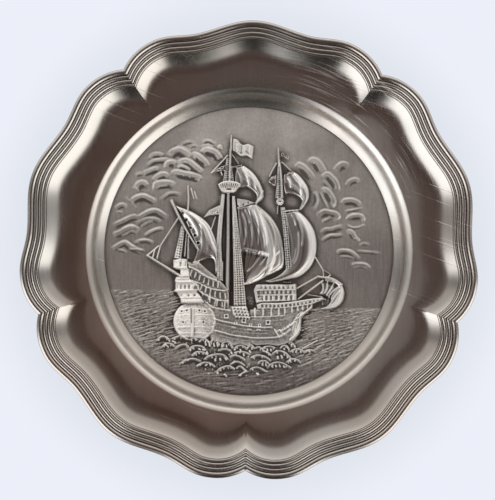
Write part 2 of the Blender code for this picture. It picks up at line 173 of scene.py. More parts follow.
def bodyRings():
    # ("in", distance inside the outline) or ("out", radius), height, darkness of the old patina
    metal, rings = plate["metal"], []
    heel = floorRadius + metal
    ledge, under = ledgeRadius + metal, bandHeight - metal
    # the back: flat under the medallion, then up the outside of the well to the underside of the band
    back = [(0.0300, 0.0), (0.0600, 0.0), (heel - 0.0016, 0.0), (heel - 0.0006, 0.00003),
            (heel + 0.0003, 0.00020), (heel + 0.0009, 0.00045), (heel + 0.0018, 0.00120),
            (heel + 0.0034, 0.00270), (heel + 0.0056, 0.00480), (heel + 0.0076, 0.00680),
            (ledge - 0.0006, 0.00815), (ledge + 0.0002, under - 0.00010), (ledge + 0.0014, under)]
    rings += [("out", radius, height, tarnish["back"]) for radius, height in back]
    for i in range(9):
        share = 1 - i / 8
        height = bandHeight + plate["flangeRise"] * (1 - share) ** 2 - metal
        rings.append(("in", rimWidth + plate["flangeWidth"] * share, height, tarnish["back"]))
    rings += [("in", distance, height, tarnish["rimFoot"]) for distance, height in (
        (0.0060, rimBase - metal), (0.0028, rimBase - metal), (0.0013, rimBase - metal + 0.00004),
        (0.0007, rimBase - 0.90 * metal), (0.0003, rimBase - 0.78 * metal), (0.00006, rimBase - 0.62 * metal),
        (0.0, rimBase - 0.30 * metal))]
    start = 0.0
    ridges = [(plate["rollWidth"], plate["rollRise"], 16)]
    ridges += [(plate["reedWidth"], plate["reedRise"], 12)] * plate["reedCount"]
    ridges += [(plate["beadWidth"], plate["beadRise"], 10)]
    for width, rise, cuts in ridges:
        for d, h in ridge(start, width, rise, cuts):
            # dark between the ridges, clean on the outer face of the roll
            depth = 1 - (h - rimBase) / rise
            outer = d < 0.3 * plate["rollWidth"]
            rings.append(("in", d, h, 0.0 if outer else max(0.0, 1.8 * depth - 0.6)))
        rings.pop()
        start += width
    for i in range(17):
        share = i / 16
        height = bandHeight + plate["flangeRise"] * (1 - share) ** 2
        darkness = tarnish["groove"] if i == 0 else 0.0
        rings.append(("in", rimWidth + plate["flangeWidth"] * share, height, darkness))
    # the shoulder is rubbed bright, the cove less so
    for inward, drop in wallSection():
        part = "shoulder" if drop < 0.45 * plate["wellDepth"] else "cove"
        rings.append(("out", ledgeRadius - inward, bandHeight - drop, tarnish[part]))
    rings[-1] = rings[-1][:3] + (tarnish["floorEdge"],)
    for inward, part in ((0.0006, "floorEdge"), (0.0080, "floor")):
        rings.append(("out", plate["medallionRadius"] - inward, plate["floorThickness"], tarnish[part]))
    return rings


def tube(path, radius, sides=14):
    # points and faces of a round wire along a path, with closed ends
    path = np.array(path)
    ways = np.gradient(path, axis=0)
    ways /= np.linalg.norm(ways, axis=1)[:, None]
    aside = np.array((0.0, 0.0, 1.0))
    points, faces = [], []
    for place, way in zip(path, ways):
        across = np.cross(way, aside)
        for side in range(sides):
            a = 2 * math.pi * side / sides
            points.append(place + radius * (math.cos(a) * across + math.sin(a) * aside))
    for ring in range(len(path) - 1):
        for side in range(sides):
            a, b = ring * sides + side, ring * sides + (side + 1) % sides
            faces.append((a, b, b + sides, a + sides))
    faces.append(tuple(range(sides))[::-1])
    faces.append(tuple(range((len(path) - 1) * sides, len(path) * sides)))
    return points, faces


def loopPath():
    root = bandHeight - plate["metal"] + loop["root"]
    crown = loop["wallGap"] + loop["wire"]
    half, corner, up = loop["span"] / 2, loop["corner"], ledgeRadius + loop["inset"]
    path = [(-half, root), (-half, 0.6 * root + 0.4 * crown)]
    for middle, first in ((-half + corner, 180), (half - corner, 270)):
        for i in range(9):
            a = math.radians(first + 90 * i / 8)
            path.append((middle + corner * math.cos(a), crown + corner + corner * math.sin(a)))
    path += [(half, 0.6 * root + 0.4 * crown), (half, root)]
    return [(x, -height, up) for x, height in path]


def showMesh(name, mesh):
    piece = bpy.data.objects.new(name, mesh)
    bpy.context.scene.collection.objects.link(piece)
    return piece


def buildBody():
    marks, rings = outlineStations(), bodyRings()
    count = len(marks)
    points, dark = [], []
    for kind, distance, height, darkness in rings:
        if kind == "in":
            radii = marks[:, 1] - distance * marks[:, 2]
        else:
            radii = np.full(count, distance)
        ring = np.stack((radii * np.cos(marks[:, 0]), np.full(count, -height), radii * np.sin(marks[:, 0])), 1)
        points.append(ring)
        # painted shade: the rubbed shoulder and cove are painted darker by the angle round the plate
        above = np.interp(np.degrees(marks[:, 0]) % 360, *zip(*crownPaintedShade)) * (kind == "out" and darkness < 0)
        dark += list(darkness * (1 - above) + tarnish["crown"] * above)
    points = np.concatenate(points)
    faces = []
    for ring in range(len(rings) - 1):
        start = ring * count
        for a in range(count):
            b = (a + 1) % count
            faces.append((start + a, start + b, start + count + b, start + count + a))
    faces.append(tuple(range(count))[::-1])
    faces.append(tuple(range(len(points) - count, len(points))))
    wirePoints, wireFaces = tube(loopPath(), loop["wire"])
    shift = len(points)
    points = [tuple(p) for p in points] + [tuple(p) for p in wirePoints]
    faces += [tuple(v + shift for v in face) for face in wireFaces]
    dark += [tarnish["loop"]] * len(wirePoints)
    mesh = bpy.data.meshes.new("plateBody")
    mesh.from_pydata(points, [], faces)
    mesh.update()
    mesh.shade_smooth()
    mesh.set_sharp_from_angle(angle=math.radians(33))
    layer = mesh.attributes.new("hollow", "FLOAT", "POINT")
    layer.data.foreach_set("value", dark)
    return showMesh("plateBody", mesh)


plateBody = buildBody()
print("plate body built,", len(plateBody.data.polygons), "faces")


# Modelling clay: heights over part of the sheet, in millimetres above the medallion's ground
class Clay:
    def __init__(self, left, top, right, bottom, cell, level=0.0):
        self.left, self.top, self.cell = left, top, cell
        self.columns = int(round((right - left) / cell)) + 1
        self.rows = int(round((bottom - top) / cell)) + 1
        self.right, self.bottom = left + cell * (self.columns - 1), top + cell * (self.rows - 1)
        self.base = np.full((self.rows, self.columns), level, np.float64)
        self.height = self.base.copy()
        # the last two fields hold patina with painted shade, and painted highlights
        self.shine, self.grain, self.stain, self.satin = (np.zeros(self.height.shape) for _ in range(4))

    def spread(self, points, reach):
        # window of the sheet around some points, with the x and y of its grid
        xs, ys = [p[0] for p in points], [p[1] for p in points]
        c0 = max(0, int((min(xs) - reach - self.left) / self.cell))
        c1 = min(self.columns, int((max(xs) + reach - self.left) / self.cell) + 2)
        r0 = max(0, int((min(ys) - reach - self.top) / self.cell))
        r1 = min(self.rows, int((max(ys) + reach - self.top) / self.cell) + 2)
        if c1 <= c0 or r1 <= r0:
            c1, r1 = c0, r0
        x, y = np.meshgrid(self.left + self.cell * np.arange(c0, c1), self.top + self.cell * np.arange(r0, r1))
        return (slice(r0, r1), slice(c0, c1)), x, y

    def lift(self, area, height):
        self.height[area] = np.maximum(self.height[area], height)

    def add(self, area, height):
        self.height[area] += height

    def cover(self, area, weight, height):
        self.height[area] = self.height[area] * (1 - weight) + height * weight

    def finish(self, area, weight, shine=None, grain=None):
        # how polished, and how rough, the metal is there
        if shine is not None:
            self.shine[area] = self.shine[area] * (1 - weight) + shine * weight
            self.grain[area] *= 1 - weight
        if grain is not None:
            self.grain[area] = self.grain[area] * (1 - weight) + grain * weight

    def paintSheen(self, area, satin):
        # painted sheen, a painted highlight laid as a light dull finish, where it is stronger than the one
        # there
        self.satin[area] = np.maximum(self.satin[area], satin)

    def clearPaintedSheen(self, area, weight):
        # takes the painted highlight away
        self.satin[area] *= 1 - weight

    def around(self, x, y, radius):
        area, gx, gy = self.spread([(x, y)], radius * 1.3)
        return area, ease(np.hypot(gx - x, gy - y), radius * 1.2, radius * 0.8)

    def grid(self):
        across, down = (self.cell * np.arange(count) for count in (self.columns, self.rows))
        return np.meshgrid(self.left + across, self.top + down)

    def holds(self, x, y, margin=0.0):
        across = (x > self.left + margin) & (x < self.right - margin)
        return across & (y > self.top + margin) & (y < self.bottom - margin)

    def sample(self, field, x, y):
        # field between its grid points
        c = np.clip((x - self.left) / self.cell, 0, self.columns - 1.001)
        r = np.clip((y - self.top) / self.cell, 0, self.rows - 1.001)
        c0, r0 = c.astype(int), r.astype(int)
        fc, fr = c - c0, r - r0
        top = field[r0, c0] * (1 - fc) + field[r0, c0 + 1] * fc
        low = field[r0 + 1, c0] * (1 - fc) + field[r0 + 1, c0 + 1] * fc
        return top * (1 - fr) + low * fr


def curve(points, cuts=6, closed=False):
    # points along a smooth line through the given ones
    points = [tuple(p) for p in points]
    ends = [points[-1], *points, points[0], points[1]] if closed else [points[0], *points, points[-1]]
    line = []
    for p0, p1, p2, p3 in zip(ends, ends[1:], ends[2:], ends[3:]):
        for cut in range(cuts):
            t = cut / cuts
            weights = (-t + 2 * t ** 2 - t ** 3, 2 - 5 * t ** 2 + 3 * t ** 3,
                       t + 4 * t ** 2 - 3 * t ** 3, t ** 3 - t ** 2)
            line.append(tuple(sum(w * p[k] for w, p in zip(weights, (p0, p1, p2, p3))) / 2 for k in (0, 1)))
    return line if closed else line + [points[-1]]


def follow(path, x, y):
    # distance to the path, run along it, side of it (right of the way is above zero) and its length
    away = np.full(x.shape, 1e9)
    run, side = np.zeros(x.shape), np.ones(x.shape)
    done = 0.0
    for (ax, ay), (bx, by) in zip(path, path[1:]):
        dx, dy = bx - ax, by - ay
        length = math.hypot(dx, dy)
        if length < 1e-9:
            continue
        t = np.clip(((x - ax) * dx + (y - ay) * dy) / length ** 2, 0, 1)
        ex, ey = x - ax - t * dx, y - ay - t * dy
        here = np.hypot(ex, ey)
        closer = here < away
        away = np.where(closer, here, away)
        run = np.where(closer, done + t * length, run)
        side = np.where(closer, np.where(dx * ey - dy * ex >= 0, 1.0, -1.0), side)
        done += length
    return away, run, side, done


def inside(outline, x, y):
    # depth inside a closed outline, below zero outside it
    closed = list(outline) + [outline[0]]
    within = np.zeros(x.shape, bool)
    for (ax, ay), (bx, by) in zip(closed, closed[1:]):
        if ay != by:
            within ^= ((ay > y) != (by > y)) & (x < ax + (y - ay) * (bx - ax) / (by - ay))
    near = follow(closed, x, y)[0]
    return np.where(within, near, -near)


def ease(value, low, high):
    t = np.clip((value - low) / (high - low), 0, 1)
    return t * t * (3 - 2 * t)


def dome(t):
    # half-round top: 1 in the middle, 0 at t = 1, and steeply down beyond it
    return np.where(t < 1, np.sqrt(np.maximum(1 - t * t, 0)), -3.0 * (t - 1))


def shelf(t):
    # rounded climb from 0 to 1, steeply down below zero
    c = np.clip(t, 0, 1)
    climb = np.minimum(np.sqrt(1 - (1 - c) ** 2), 3.0 * c)
    return np.where(t < 0, 3.0 * t, climb)


def drift(shape, size, seed):
    # smooth seeded waviness between about -1 and 1; size is in cells
    rng = np.random.default_rng(seed)
    rows, columns = (int(n / size) + 4 for n in shape)
    coarse = rng.standard_normal((rows, columns))
    r = np.linspace(1, rows - 3, shape[0])
    c = np.linspace(1, columns - 3, shape[1])
    r0, c0 = r.astype(int), c.astype(int)
    fr, fc = r - r0, c - c0
    fr, fc = (fr * fr * (3 - 2 * fr))[:, None], (fc * fc * (3 - 2 * fc))[None, :]
    top = coarse[r0][:, c0] * (1 - fc) + coarse[r0][:, c0 + 1] * fc
    low = coarse[r0 + 1][:, c0] * (1 - fc) + coarse[r0 + 1][:, c0 + 1] * fc
    return (top * (1 - fr) + low * fr) / 1.6


def soften(field, sigma):
    # Gaussian blur; sigma is in cells
    reach = max(1, int(math.ceil(3 * sigma)))
    offsets = np.arange(-reach, reach + 1)
    weights = np.exp(-0.5 * (offsets / sigma) ** 2)
    weights /= weights.sum()
    for axis in (0, 1):
        pad = [(reach, reach) if k == axis else (0, 0) for k in (0, 1)]
        wide = np.pad(field, pad, mode="edge")
        total = np.zeros_like(field)
        for offset, weight in zip(offsets, weights):
            start = reach + offset
            part = wide[start:start + field.shape[0]] if axis == 0 else wide[:, start:start + field.shape[1]]
            total += weight * part
        field = total
    return field


# Strokes of the modelling tool. Their sizes are in steps of the sheet, rises in millimetres
def rib(clay, width, rise, endWidth, shine, *points, grain=None, smooth=True):
    # half-round bar of its own, such as a spar or a rope; width is half its thickness
    path = curve(points) if smooth and len(points) > 2 else points
    area, x, y = clay.spread(path, max(width, endWidth) + 1.5)
    away, run, _, length = follow(path, x, y)
    wide = width + (endWidth - width) * run / length
    clay.lift(area, rise * dome(away / wide))
    within = ease(away, wide + 0.4, wide - 0.2)
    clay.finish(area, within, shine, 0.6 * shine if grain is None else grain)
    clay.clearPaintedSheen(area, within)


def crease(clay, width, rise, ends, *points, smooth=True):
    # soft line added to what is there, raised above zero or cut in below it; ends is the share
    # of its length over which it fades at each end
    path = curve(points) if smooth and len(points) > 2 else points
    area, x, y = clay.spread(path, width * 2.2)
    away, run, _, length = follow(path, x, y)
    fade = ease(run, 0, ends * length) * ease(length - run, 0, ends * length) if ends else 1.0
    line = np.exp(-(away / width) ** 2) * fade
    clay.add(area, rise * line)
    return area, line


def slab(clay, outline, rise, edge, smooth=False, shine=None, grain=None, stain=0.0):
    # raised patch with rounded edges
    outline = curve(outline, 5, closed=True) if smooth else outline
    area, x, y = clay.spread(outline, 2.0)
    depth = inside(outline, x, y)
    clay.lift(area, rise * shelf(depth / edge))
    within = ease(depth, -0.3, 0.3)
    clay.finish(area, within, shine, grain)
    clay.clearPaintedSheen(area, within)
    clay.stain[area] += stain * within


def press(clay, outline, depth, edge):
    # sunk patch
    area, x, y = clay.spread(outline, 2.0)
    clay.add(area, -depth * np.clip(shelf(inside(outline, x, y) / edge), 0, 1))


def oval(clay, x, y, halfWidth, halfHeight, tilt, reach):
    # squared distance from the middle of a tilted oval, 1 on its outline
    turn = math.radians(tilt)
    area, gx, gy = clay.spread([(x, y)], reach)
    dx, dy = gx - x, gy - y
    u = (dx * math.cos(turn) - dy * math.sin(turn)) / halfWidth
    v = (dx * math.sin(turn) + dy * math.cos(turn)) / halfHeight
    return area, u * u + v * v


def knob(clay, x, y, radius, rise):
    area, gx, gy = clay.spread([(x, y)], radius * 2)
    clay.lift(area, rise * dome(np.hypot(gx - x, gy - y) / radius))


def dot(clay, x, y, radius, depth):
    # soft round hollow
    area, gx, gy = clay.spread([(x, y)], radius * 2.5)
    clay.add(area, -depth * np.exp(-(np.hypot(gx - x, gy - y) / radius) ** 2))


def strip(clay, spine, startHalf, endHalf):
    # coordinates along and across a band that widens along its spine
    path = curve(spine) if len(spine) > 2 else spine
    area, x, y = clay.spread(path, max(startHalf, endHalf) + 2)
    away, run, side, length = follow(path, x, y)
    half = startHalf + (endHalf - startHalf) * run / length
    edge = half - away
    edge = np.where((run <= 0) | (run >= length), -np.abs(away), edge)
    return area, run, side * away, half, edge, length


def ladder(clay, startHalf, endHalf, ropes, pitch, level, rise, grain, *spine):
    # shrouds with rungs: ropes along the band, rungs across it
    area, run, across, half, edge, length = strip(clay, spine, startHalf, endHalf)
    web = np.zeros(run.shape)
    for rope in ropes:
        web = np.maximum(web, np.exp(-((across - rope * half) / shipLook["rope"]) ** 2))
    rungs = 0.5 + 0.5 * np.cos(2 * math.pi * run / pitch)
    body = level + 1.1 * rise * np.maximum(web, 0.85 * rungs ** 1.2)
    clay.cover(area, ease(edge, -0.1, 0.35), body)
    within = ease(edge, -0.3, 0.3)
    clay.finish(area, within, 0.2, 0.6 * grain)
    clay.clearPaintedSheen(area, within)
    clay.stain[area] += 0.28 * within


def work(clay, tool, *rows):
    # one tool used again and again, with a row for each stroke
    for row in rows:
        tool(clay, *row)


# Sky
skyLook = {
    "cell": 0.66, "cloudRise": 1.35, "band": 2.8, "chase": 0.10,
    "under": 0.5,        # how much shows of the cloud behind
    "horizon": [(190, 289.0), (330, 307.5)],
}
# Each swell: share of the full rise, reach below its brow, and the brow from left to right
leftSwells = [
    (0.35, 4.5, (178.5, 144), (182, 141.5), (187, 139.8), (191, 139.7), (196, 141)),
    (0.35, 4, (201, 140.5), (205, 138.6), (209, 138.4), (214, 140.5), (217, 142)),
    (0.35, 4, (188, 145.5), (192, 143.5), (196, 143.6), (199, 145)),
    (0.45, 5, (199.5, 145.5), (204, 143.8), (209, 143.8), (214, 145.5)),
    (0.6, 5, (172, 148), (179, 144.5), (184, 146), (192, 150)),
    (1, 10, (165, 153), (170, 148.5), (176, 146), (181, 146), (187, 149), (191, 152), (194, 155)),
    (0.85, 9, (190, 153), (194, 151), (198, 152), (203, 155), (208, 160), (211, 165)),
    (0.95, 9, (199, 151), (203, 147), (208, 146), (214, 147.5), (219, 150.5), (223, 156), (224, 159)),
    (0.8, 5, (216, 147), (219, 144), (222, 145), (223, 149)),
    (0.75, 7, (147, 158), (149, 154), (153, 151.5), (159, 151), (165, 153)),
    (0.75, 6, (145, 164), (151, 159), (158, 157.3), (167, 157), (171, 158)),
    (0.95, 9, (163, 168), (164, 162), (168, 159), (173, 158.5), (178, 160.5)),
    (0.95, 9, (175, 161), (182, 157.5), (188, 157.5), (193, 160), (199, 165), (205, 170)),
    (0.65, 7, (141, 171), (148, 168), (155, 165.5), (160, 166)),
    (0.4, 5, (134, 173), (138, 171.5), (143, 171)),
    (0.75, 5, (176, 166), (180, 163.8), (186, 165), (192, 169)),
    (0.9, 9, (169, 174), (172, 169.5), (177, 168.5), (184, 170), (190, 171), (197, 172.8), (202, 175.5),
     (204, 178)),
    (0.7, 8, (150.5, 178), (155, 174), (161, 171), (167, 171.5), (171, 175)),
    (0.9, 9, (152, 191), (152, 184), (155, 180.5), (162, 179), (170, 179.5), (177, 182)),
    (0.55, 4, (155, 186.5), (160, 184.5), (168, 183.5)),
    (0.85, 9, (131.5, 188), (135, 182), (140, 179), (146, 180), (150, 184)),
    (0.4, 5, (158, 199), (164, 194), (169, 191.3), (175, 191), (182, 192.5)),
    (0.95, 8, (128, 200), (133, 195.5), (139, 193), (145, 192.8), (151, 195.5), (158, 199)),
    (0.6, 6, (113, 207), (118, 203), (123, 202), (128, 204)),
    (0.35, 3, (115, 212), (118, 210), (123, 211)),
    (0.85, 8, (134, 217), (140, 213), (146, 209.5), (152, 207.5), (158, 208), (164, 211.5), (170, 215.5)),
    (0.65, 7, (111, 223), (120, 219), (127, 215.5), (134, 213.5), (140, 215)),
    (0.65, 6, (134, 221.5), (140, 219), (147, 216.5), (154, 216.3), (160, 218.5), (163, 221)),
    (0.5, 4, (140, 225), (147, 221), (153, 219.5)),
    (0.8, 8, (111, 232), (118, 229.5), (124, 226), (130, 223.8), (136, 225), (142, 229)),
    (0.5, 4, (120, 235), (126, 232), (131, 229.5), (138, 231.5)),
    (0.7, 5, (143, 234), (149, 230), (155, 227.3), (161, 226.3), (165, 228)),
    (0.65, 5, (133, 241), (140, 238.5), (146, 238), (150, 239), (155, 241)),
    (0.85, 7, (110, 247), (117, 242.5), (122, 240), (127, 240), (132, 243.5), (138, 247), (144, 249)),
    (0.45, 4, (117, 248), (123, 248.5), (128, 251)),
    (0.5, 4, (128, 247), (138, 247.5), (146, 249.5)),
]
rightSwells = [
    (0.95, 11, (306, 161), (309.5, 157), (314, 155.7), (319, 157.5), (323, 161.5), (326.5, 167), (328, 171)),
    (0.7, 9, (293, 166), (297, 161.8), (301, 161.3), (306, 164), (311, 169), (315, 174), (317, 179)),
    (0.7, 9, (332, 169), (336, 164), (340, 161), (345, 160.3), (351, 162.5)),
    (0.9, 9, (320, 175), (325, 171), (330, 171), (335, 175), (339, 180), (341, 186), (340.5, 192)),
    (0.5, 5, (325, 178), (330, 184), (333, 189)),
    (0.65, 7, (344, 184), (348, 179), (353, 176.5), (358, 176.7), (362, 179)),
    (0.9, 9, (320, 187.5), (325, 186), (330, 188), (334, 193), (337, 199), (336.5, 205), (333, 209)),
    (0.55, 4, (322, 190), (325, 197), (328, 203), (330, 208)),
    (0.5, 5, (312, 192), (316.5, 190.5), (319, 195), (319.5, 201), (317, 207), (313, 211)),
    (0.75, 8, (339, 202), (343, 198), (348, 196.8), (354, 197), (360, 199.5), (364, 204)),
    (0.55, 3, (344, 210), (350, 208.5), (356, 207.5), (364, 205.5)),
    (0.8, 8, (315, 214), (320, 210), (325, 208), (331, 209), (337, 210.5), (341, 214), (341, 218), (335, 223)),
    (0.55, 4, (321, 220), (326, 217.5), (331, 215)),
    (0.8, 7, (347, 221), (345.5, 218), (348, 214.5), (353, 212.5), (359, 212.3), (364, 214), (366.5, 218),
     (364, 223.5)),
    (0.55, 3, (348, 223), (353, 225.8), (359, 225.3), (365, 222.5)),
    (0.55, 6, (319, 231), (325, 227), (331, 226.5), (337, 224.5), (344, 223.8)),
    (0.65, 5, (320, 239), (326, 235), (331, 233), (337, 233), (343, 231.5)),
    (0.65, 7, (345, 231), (350, 228.3), (355, 231), (358, 236), (361, 240), (357, 242.5)),
    (0.75, 6, (335, 250.3), (341, 248), (348, 248.2), (354, 250.5), (359, 255), (362, 258)),
    (0.45, 3, (339, 255), (348, 255), (356, 257.5)),
    (0.45, 4, (356, 249), (362, 249.5), (370, 250), (382, 251.5)),
    (0.65, 5, (350, 262.5), (358, 261.5), (365, 262), (370, 264.5), (372, 268)),
    (0.4, 3, (352, 266.5), (360, 265), (369, 267)),
    (0.35, 4, (358, 244), (364, 241.5), (371, 243)),
]
# Sunk places below the brows: x, y, half width, half height, tilt, depth
cloudHollows = [
    (180, 153, 10, 2.8, -8, 0.34), (204, 163.3, 2.6, 1.8, 0, 0.3), (208, 154.5, 8, 2.6, -32, 0.28),
    (157, 156, 7.5, 1.4, 4, 0.26), (152, 163.4, 8, 1.7, 18, 0.22), (170, 164.5, 5, 2.4, 6, 0.36),
    (152.5, 172, 8, 2.6, 24, 0.26), (144, 187, 4.5, 3, 0, 0.28), (141, 202, 3, 4, 0, 0.26),
    (189, 161.5, 6, 1.8, -22, 0.24), (180, 174, 7, 1.8, -6, 0.24), (194, 178, 7, 1.6, -12, 0.26),
    (314, 164, 7.5, 3.4, -32, 0.32), (328, 181, 3, 4.5, 30, 0.22), (327.5, 196, 2.6, 6, 22, 0.22),
    (346, 203.5, 6, 2.4, 0, 0.2), (354, 219, 6, 3, 0, 0.16), (163, 187, 6, 2.2, 8, 0.24),
    (127, 233, 6, 1.6, 14, 0.16), (341, 166.5, 5, 2.6, 0, 0.16),
]
cloudGlints = [
    (193, 156.5, 196.5, 161), (215.5, 154.5, 219, 160), (184, 161, 187, 163), (177, 173.5, 180.5, 174.8),
    (188, 176, 191, 178), (194, 178.6, 200, 180.6), (131, 201, 138, 208), (137, 242, 143, 246.5),
    (336.8, 200, 333.6, 208), (135, 186, 139, 191.5), (125, 196, 131, 201), (328, 216.5, 330, 214.8),
    (211, 157, 214, 159.5), (180, 173, 184, 175.8), (122, 247, 126, 249),
]


def swell(clay, points, reach, rise, band, shade, paintedHighlight):
    # a rounded brow drawn from left to right, thin at its ends; it covers what lies behind and
    # falls away slowly below
    path = curve(points, 4)
    area, x, y = clay.spread(path, 1.2 * reach + 1)
    away, run, side, length = follow(path, x, y)
    below = side * away
    taper = np.sin(math.pi * np.clip(run / length, 0, 1)) ** 0.6
    wide = band * (0.35 + 0.65 * taper)
    climb = ease(below, -0.3 * wide, wide)
    fall = np.clip(below / (1.15 * reach), 0, 1) ** 2.2
    body = rise * (0.25 + 0.75 * taper) * climb * (1 - fall)
    body += skyLook["chase"] * np.cos(2 * math.pi * below / 2.3) * ease(below, wide, 1.5 * wide) * (1 - fall)
    # painted shade below the brow, towards the end of its reach
    stain = ease(below, 0.5 * reach, 0.98 * reach) * (1 - ease(below, 0.95 * reach, 1.3 * reach)) * taper
    weight = ease(below, -0.3 * wide, 0.2 * wide) * (1 - ease(below, 0.6 * reach, 1.2 * reach))
    weight = weight * ease(taper, 0.05, 0.6)
    base = clay.base[area]
    clay.cover(area, weight, base + body + skyLook["under"] * (clay.height[area] - base))
    # painted highlight along the brow, both as sheen and as lighter patina
    past = np.maximum(below - 0.4 * wide, 0)
    fading = 0.75 * np.exp(-(past / 1.1) ** 2) + 0.4 * np.exp(-(past / (0.5 * reach)) ** 1.4)
    glow = ease(below, -0.2 * wide, 0.4 * wide) * fading * taper
    clay.stain[area] = clay.stain[area] * (1 - 0.8 * weight) + shade * (1.6 * stain * weight - 0.5 * glow)
    clay.satin[area] = clay.satin[area] * (1 - 0.85 * weight) + paintedHighlight * glow


def modelSky():
    clay = Clay(*sheet["window"], sheet["clayCell"])
    for share, reach, *brow in leftSwells + rightSwells:
        paintedHighlight = (0.12 + 0.24 * share) * (1.0 if brow[0][0] < sheet["middleX"] else 0.75)
        band = skyLook["band"] * (0.5 + 0.5 * share)
        swell(clay, brow, reach, share * skyLook["cloudRise"], band, 0.25 + 0.4 * share, paintedHighlight)
    for x, y, halfWidth, halfHeight, tilt, depth in cloudHollows:
        area, out = oval(clay, x, y, halfWidth, halfHeight, tilt, 2 * max(halfWidth, halfHeight))
        clay.add(area, -0.5 * depth * np.exp(-out ** 1.5))
        # painted shade in the sunk places below the brows
        area, out = oval(clay, x, y, halfWidth, halfHeight, tilt, 1.5 * halfWidth)
        clay.stain[area] += 0.35 * depth * np.exp(-out)
    for ax, ay, bx, by in cloudGlints:
        crease(clay, 0.75, 0.30, 0.15, (ax, ay), (bx, by))
    # the modelling tool left small lumps wherever it had worked
    worked = np.clip(soften(np.abs(clay.height), 4) / 0.2, 0, 1)
    shape = clay.height.shape
    clay.height += 0.030 * worked * drift(shape, 4.5, 3) + 0.05 * worked * drift(shape, 11, 4)
    # the painted highlights vary at random
    clay.satin *= 1.0 + 0.35 * drift(shape, 9, 9) + 0.35 * drift(shape, 3, 10)
    clay.stain += 0.15 * worked
    return clay


# Sea
seaLook = {
    "window": (104, 284, 394, 396), "clayCell": 0.33, "cell": 0.43,
    "level": 0.10, "bank": 0.80, "ripple": 0.26, "breakerRise": 0.48, "reach": 144.0,
    "deepFrom": 352, "deepOver": 22,                   # below it the lines grow longer and softer
    "turnX": 262,                                      # right of it the lines are shorter and slant more
    "covered": [(212, 291, 344), (186, 298, 372)],     # left, right and foot of the ship and its waves
}


# Chased lines of the sea: the rows they fill, and the ranges their measures are drawn from
ripples = {
    "rows": (290.0, 394), "pitch": (1.5, 2.1), "start": (0, 6), "rightLength": (5, 12), "leftLength": (7, 18),
    "stray": (-0.7, 0.7), "turn": (-5, 5), "bow": (-0.4, 1.1), "width": (0.36, 0.56), "strength": (0.5, 1.3),
    "follow": (0.7, 1.05), "gap": (0.3, 1.6),
}


def horizon(x):
    # its height on the sheet; it climbs to the left behind the ship
    (x1, y1), (x2, y2) = skyLook["horizon"]
    return y1 + (y2 - y1) * ease(x, x1, x2)


def ripple(clay, x, y, length, tilt, bow, width, rise):
    # one short chased line of the sea, bowed upwards
    turn = math.radians(tilt)
    points = []
    for t in (-0.5, -0.2, 0.15, 0.5):
        arch = bow * (1 - 4 * t * t)
        points.append((x + math.cos(turn) * t * length, y - math.sin(turn) * t * length - arch))
    crease(clay, width, rise, 0.3, *points)


def seaTilt(x, y):
    # slope of the chased lines: level by the horizon, climbing to the right further down
    if x > seaLook["turnX"]:
        return 4 + 16 * min(1.0, max(0.0, (y - 309) / 34))
    return 15 - 10 * min(1.0, max(0.0, (y - 350) / 30))


# where the waves meet the hull
washLine = [(150, 337), (190, 337.5), (206, 339), (210, 341), (215, 339), (221, 343), (226, 340.4),
            (233.5, 345.6), (240, 343.8), (248, 346.4), (251, 343), (256, 345.4), (268, 344.6), (278, 346),
            (285, 344), (291, 341.4), (297, 343), (310, 346)]


def waterline(x):
    return np.interp(x, *zip(*washLine))


def modelSea():
    clay = Clay(*seaLook["window"], seaLook["clayCell"], seaLook["level"])
    x, y = clay.grid()
    past = y - waterline(x)
    underShip = ease(x, 158, 190) * (1 - ease(x, 288, 316))
    clay.base += seaLook["bank"] * ease(past, -7, -1) * (1 - ease(past, 8, 32)) * underShip
    clay.height = clay.base.copy()
    rng = np.random.default_rng(11)

    def draw(name):
        return rng.uniform(*ripples[name])

    y, lowest = ripples["rows"]
    while y < lowest:
        half = math.sqrt(max(0.0, seaLook["reach"] ** 2 - (y - sheet["middleY"]) ** 2))
        deep = min(1.0, max(0.0, (y - seaLook["deepFrom"]) / seaLook["deepOver"]))
        x = sheet["middleX"] - half + draw("start")
        while x < sheet["middleX"] + half:
            right = x > seaLook["turnX"]
            length = draw("rightLength" if right else "leftLength") * (1 + 0.8 * deep)
            middle = x + length / 2
            covered = any(left < middle < far and y < foot for left, far, foot in seaLook["covered"])
            if y > horizon(x) + 0.8 and not covered:
                ripple(clay, middle, y + draw("stray"), length, seaTilt(x, y) + draw("turn"),
                       draw("bow") * (1 + deep), draw("width") * (1 + 0.35 * deep),
                       seaLook["ripple"] * draw("strength") * (1.3 if right else 1.15) * (1 - 0.3 * deep))
            x += length * draw("follow") + draw("gap")
        y += draw("pitch") * (1 + 0.8 * deep)
    shape = clay.height.shape
    fine = drift(shape, 3.0, 6) * 0.035 + drift(shape, 8.0, 8) * 0.05
    x, y = clay.grid()
    clay.height += fine * ease(y - horizon(x), 0, 3)
    clay.stain += 0.05 * ease(x, seaLook["turnX"], 230) + 0.04 * ease(y, 340, 375)
    return clay


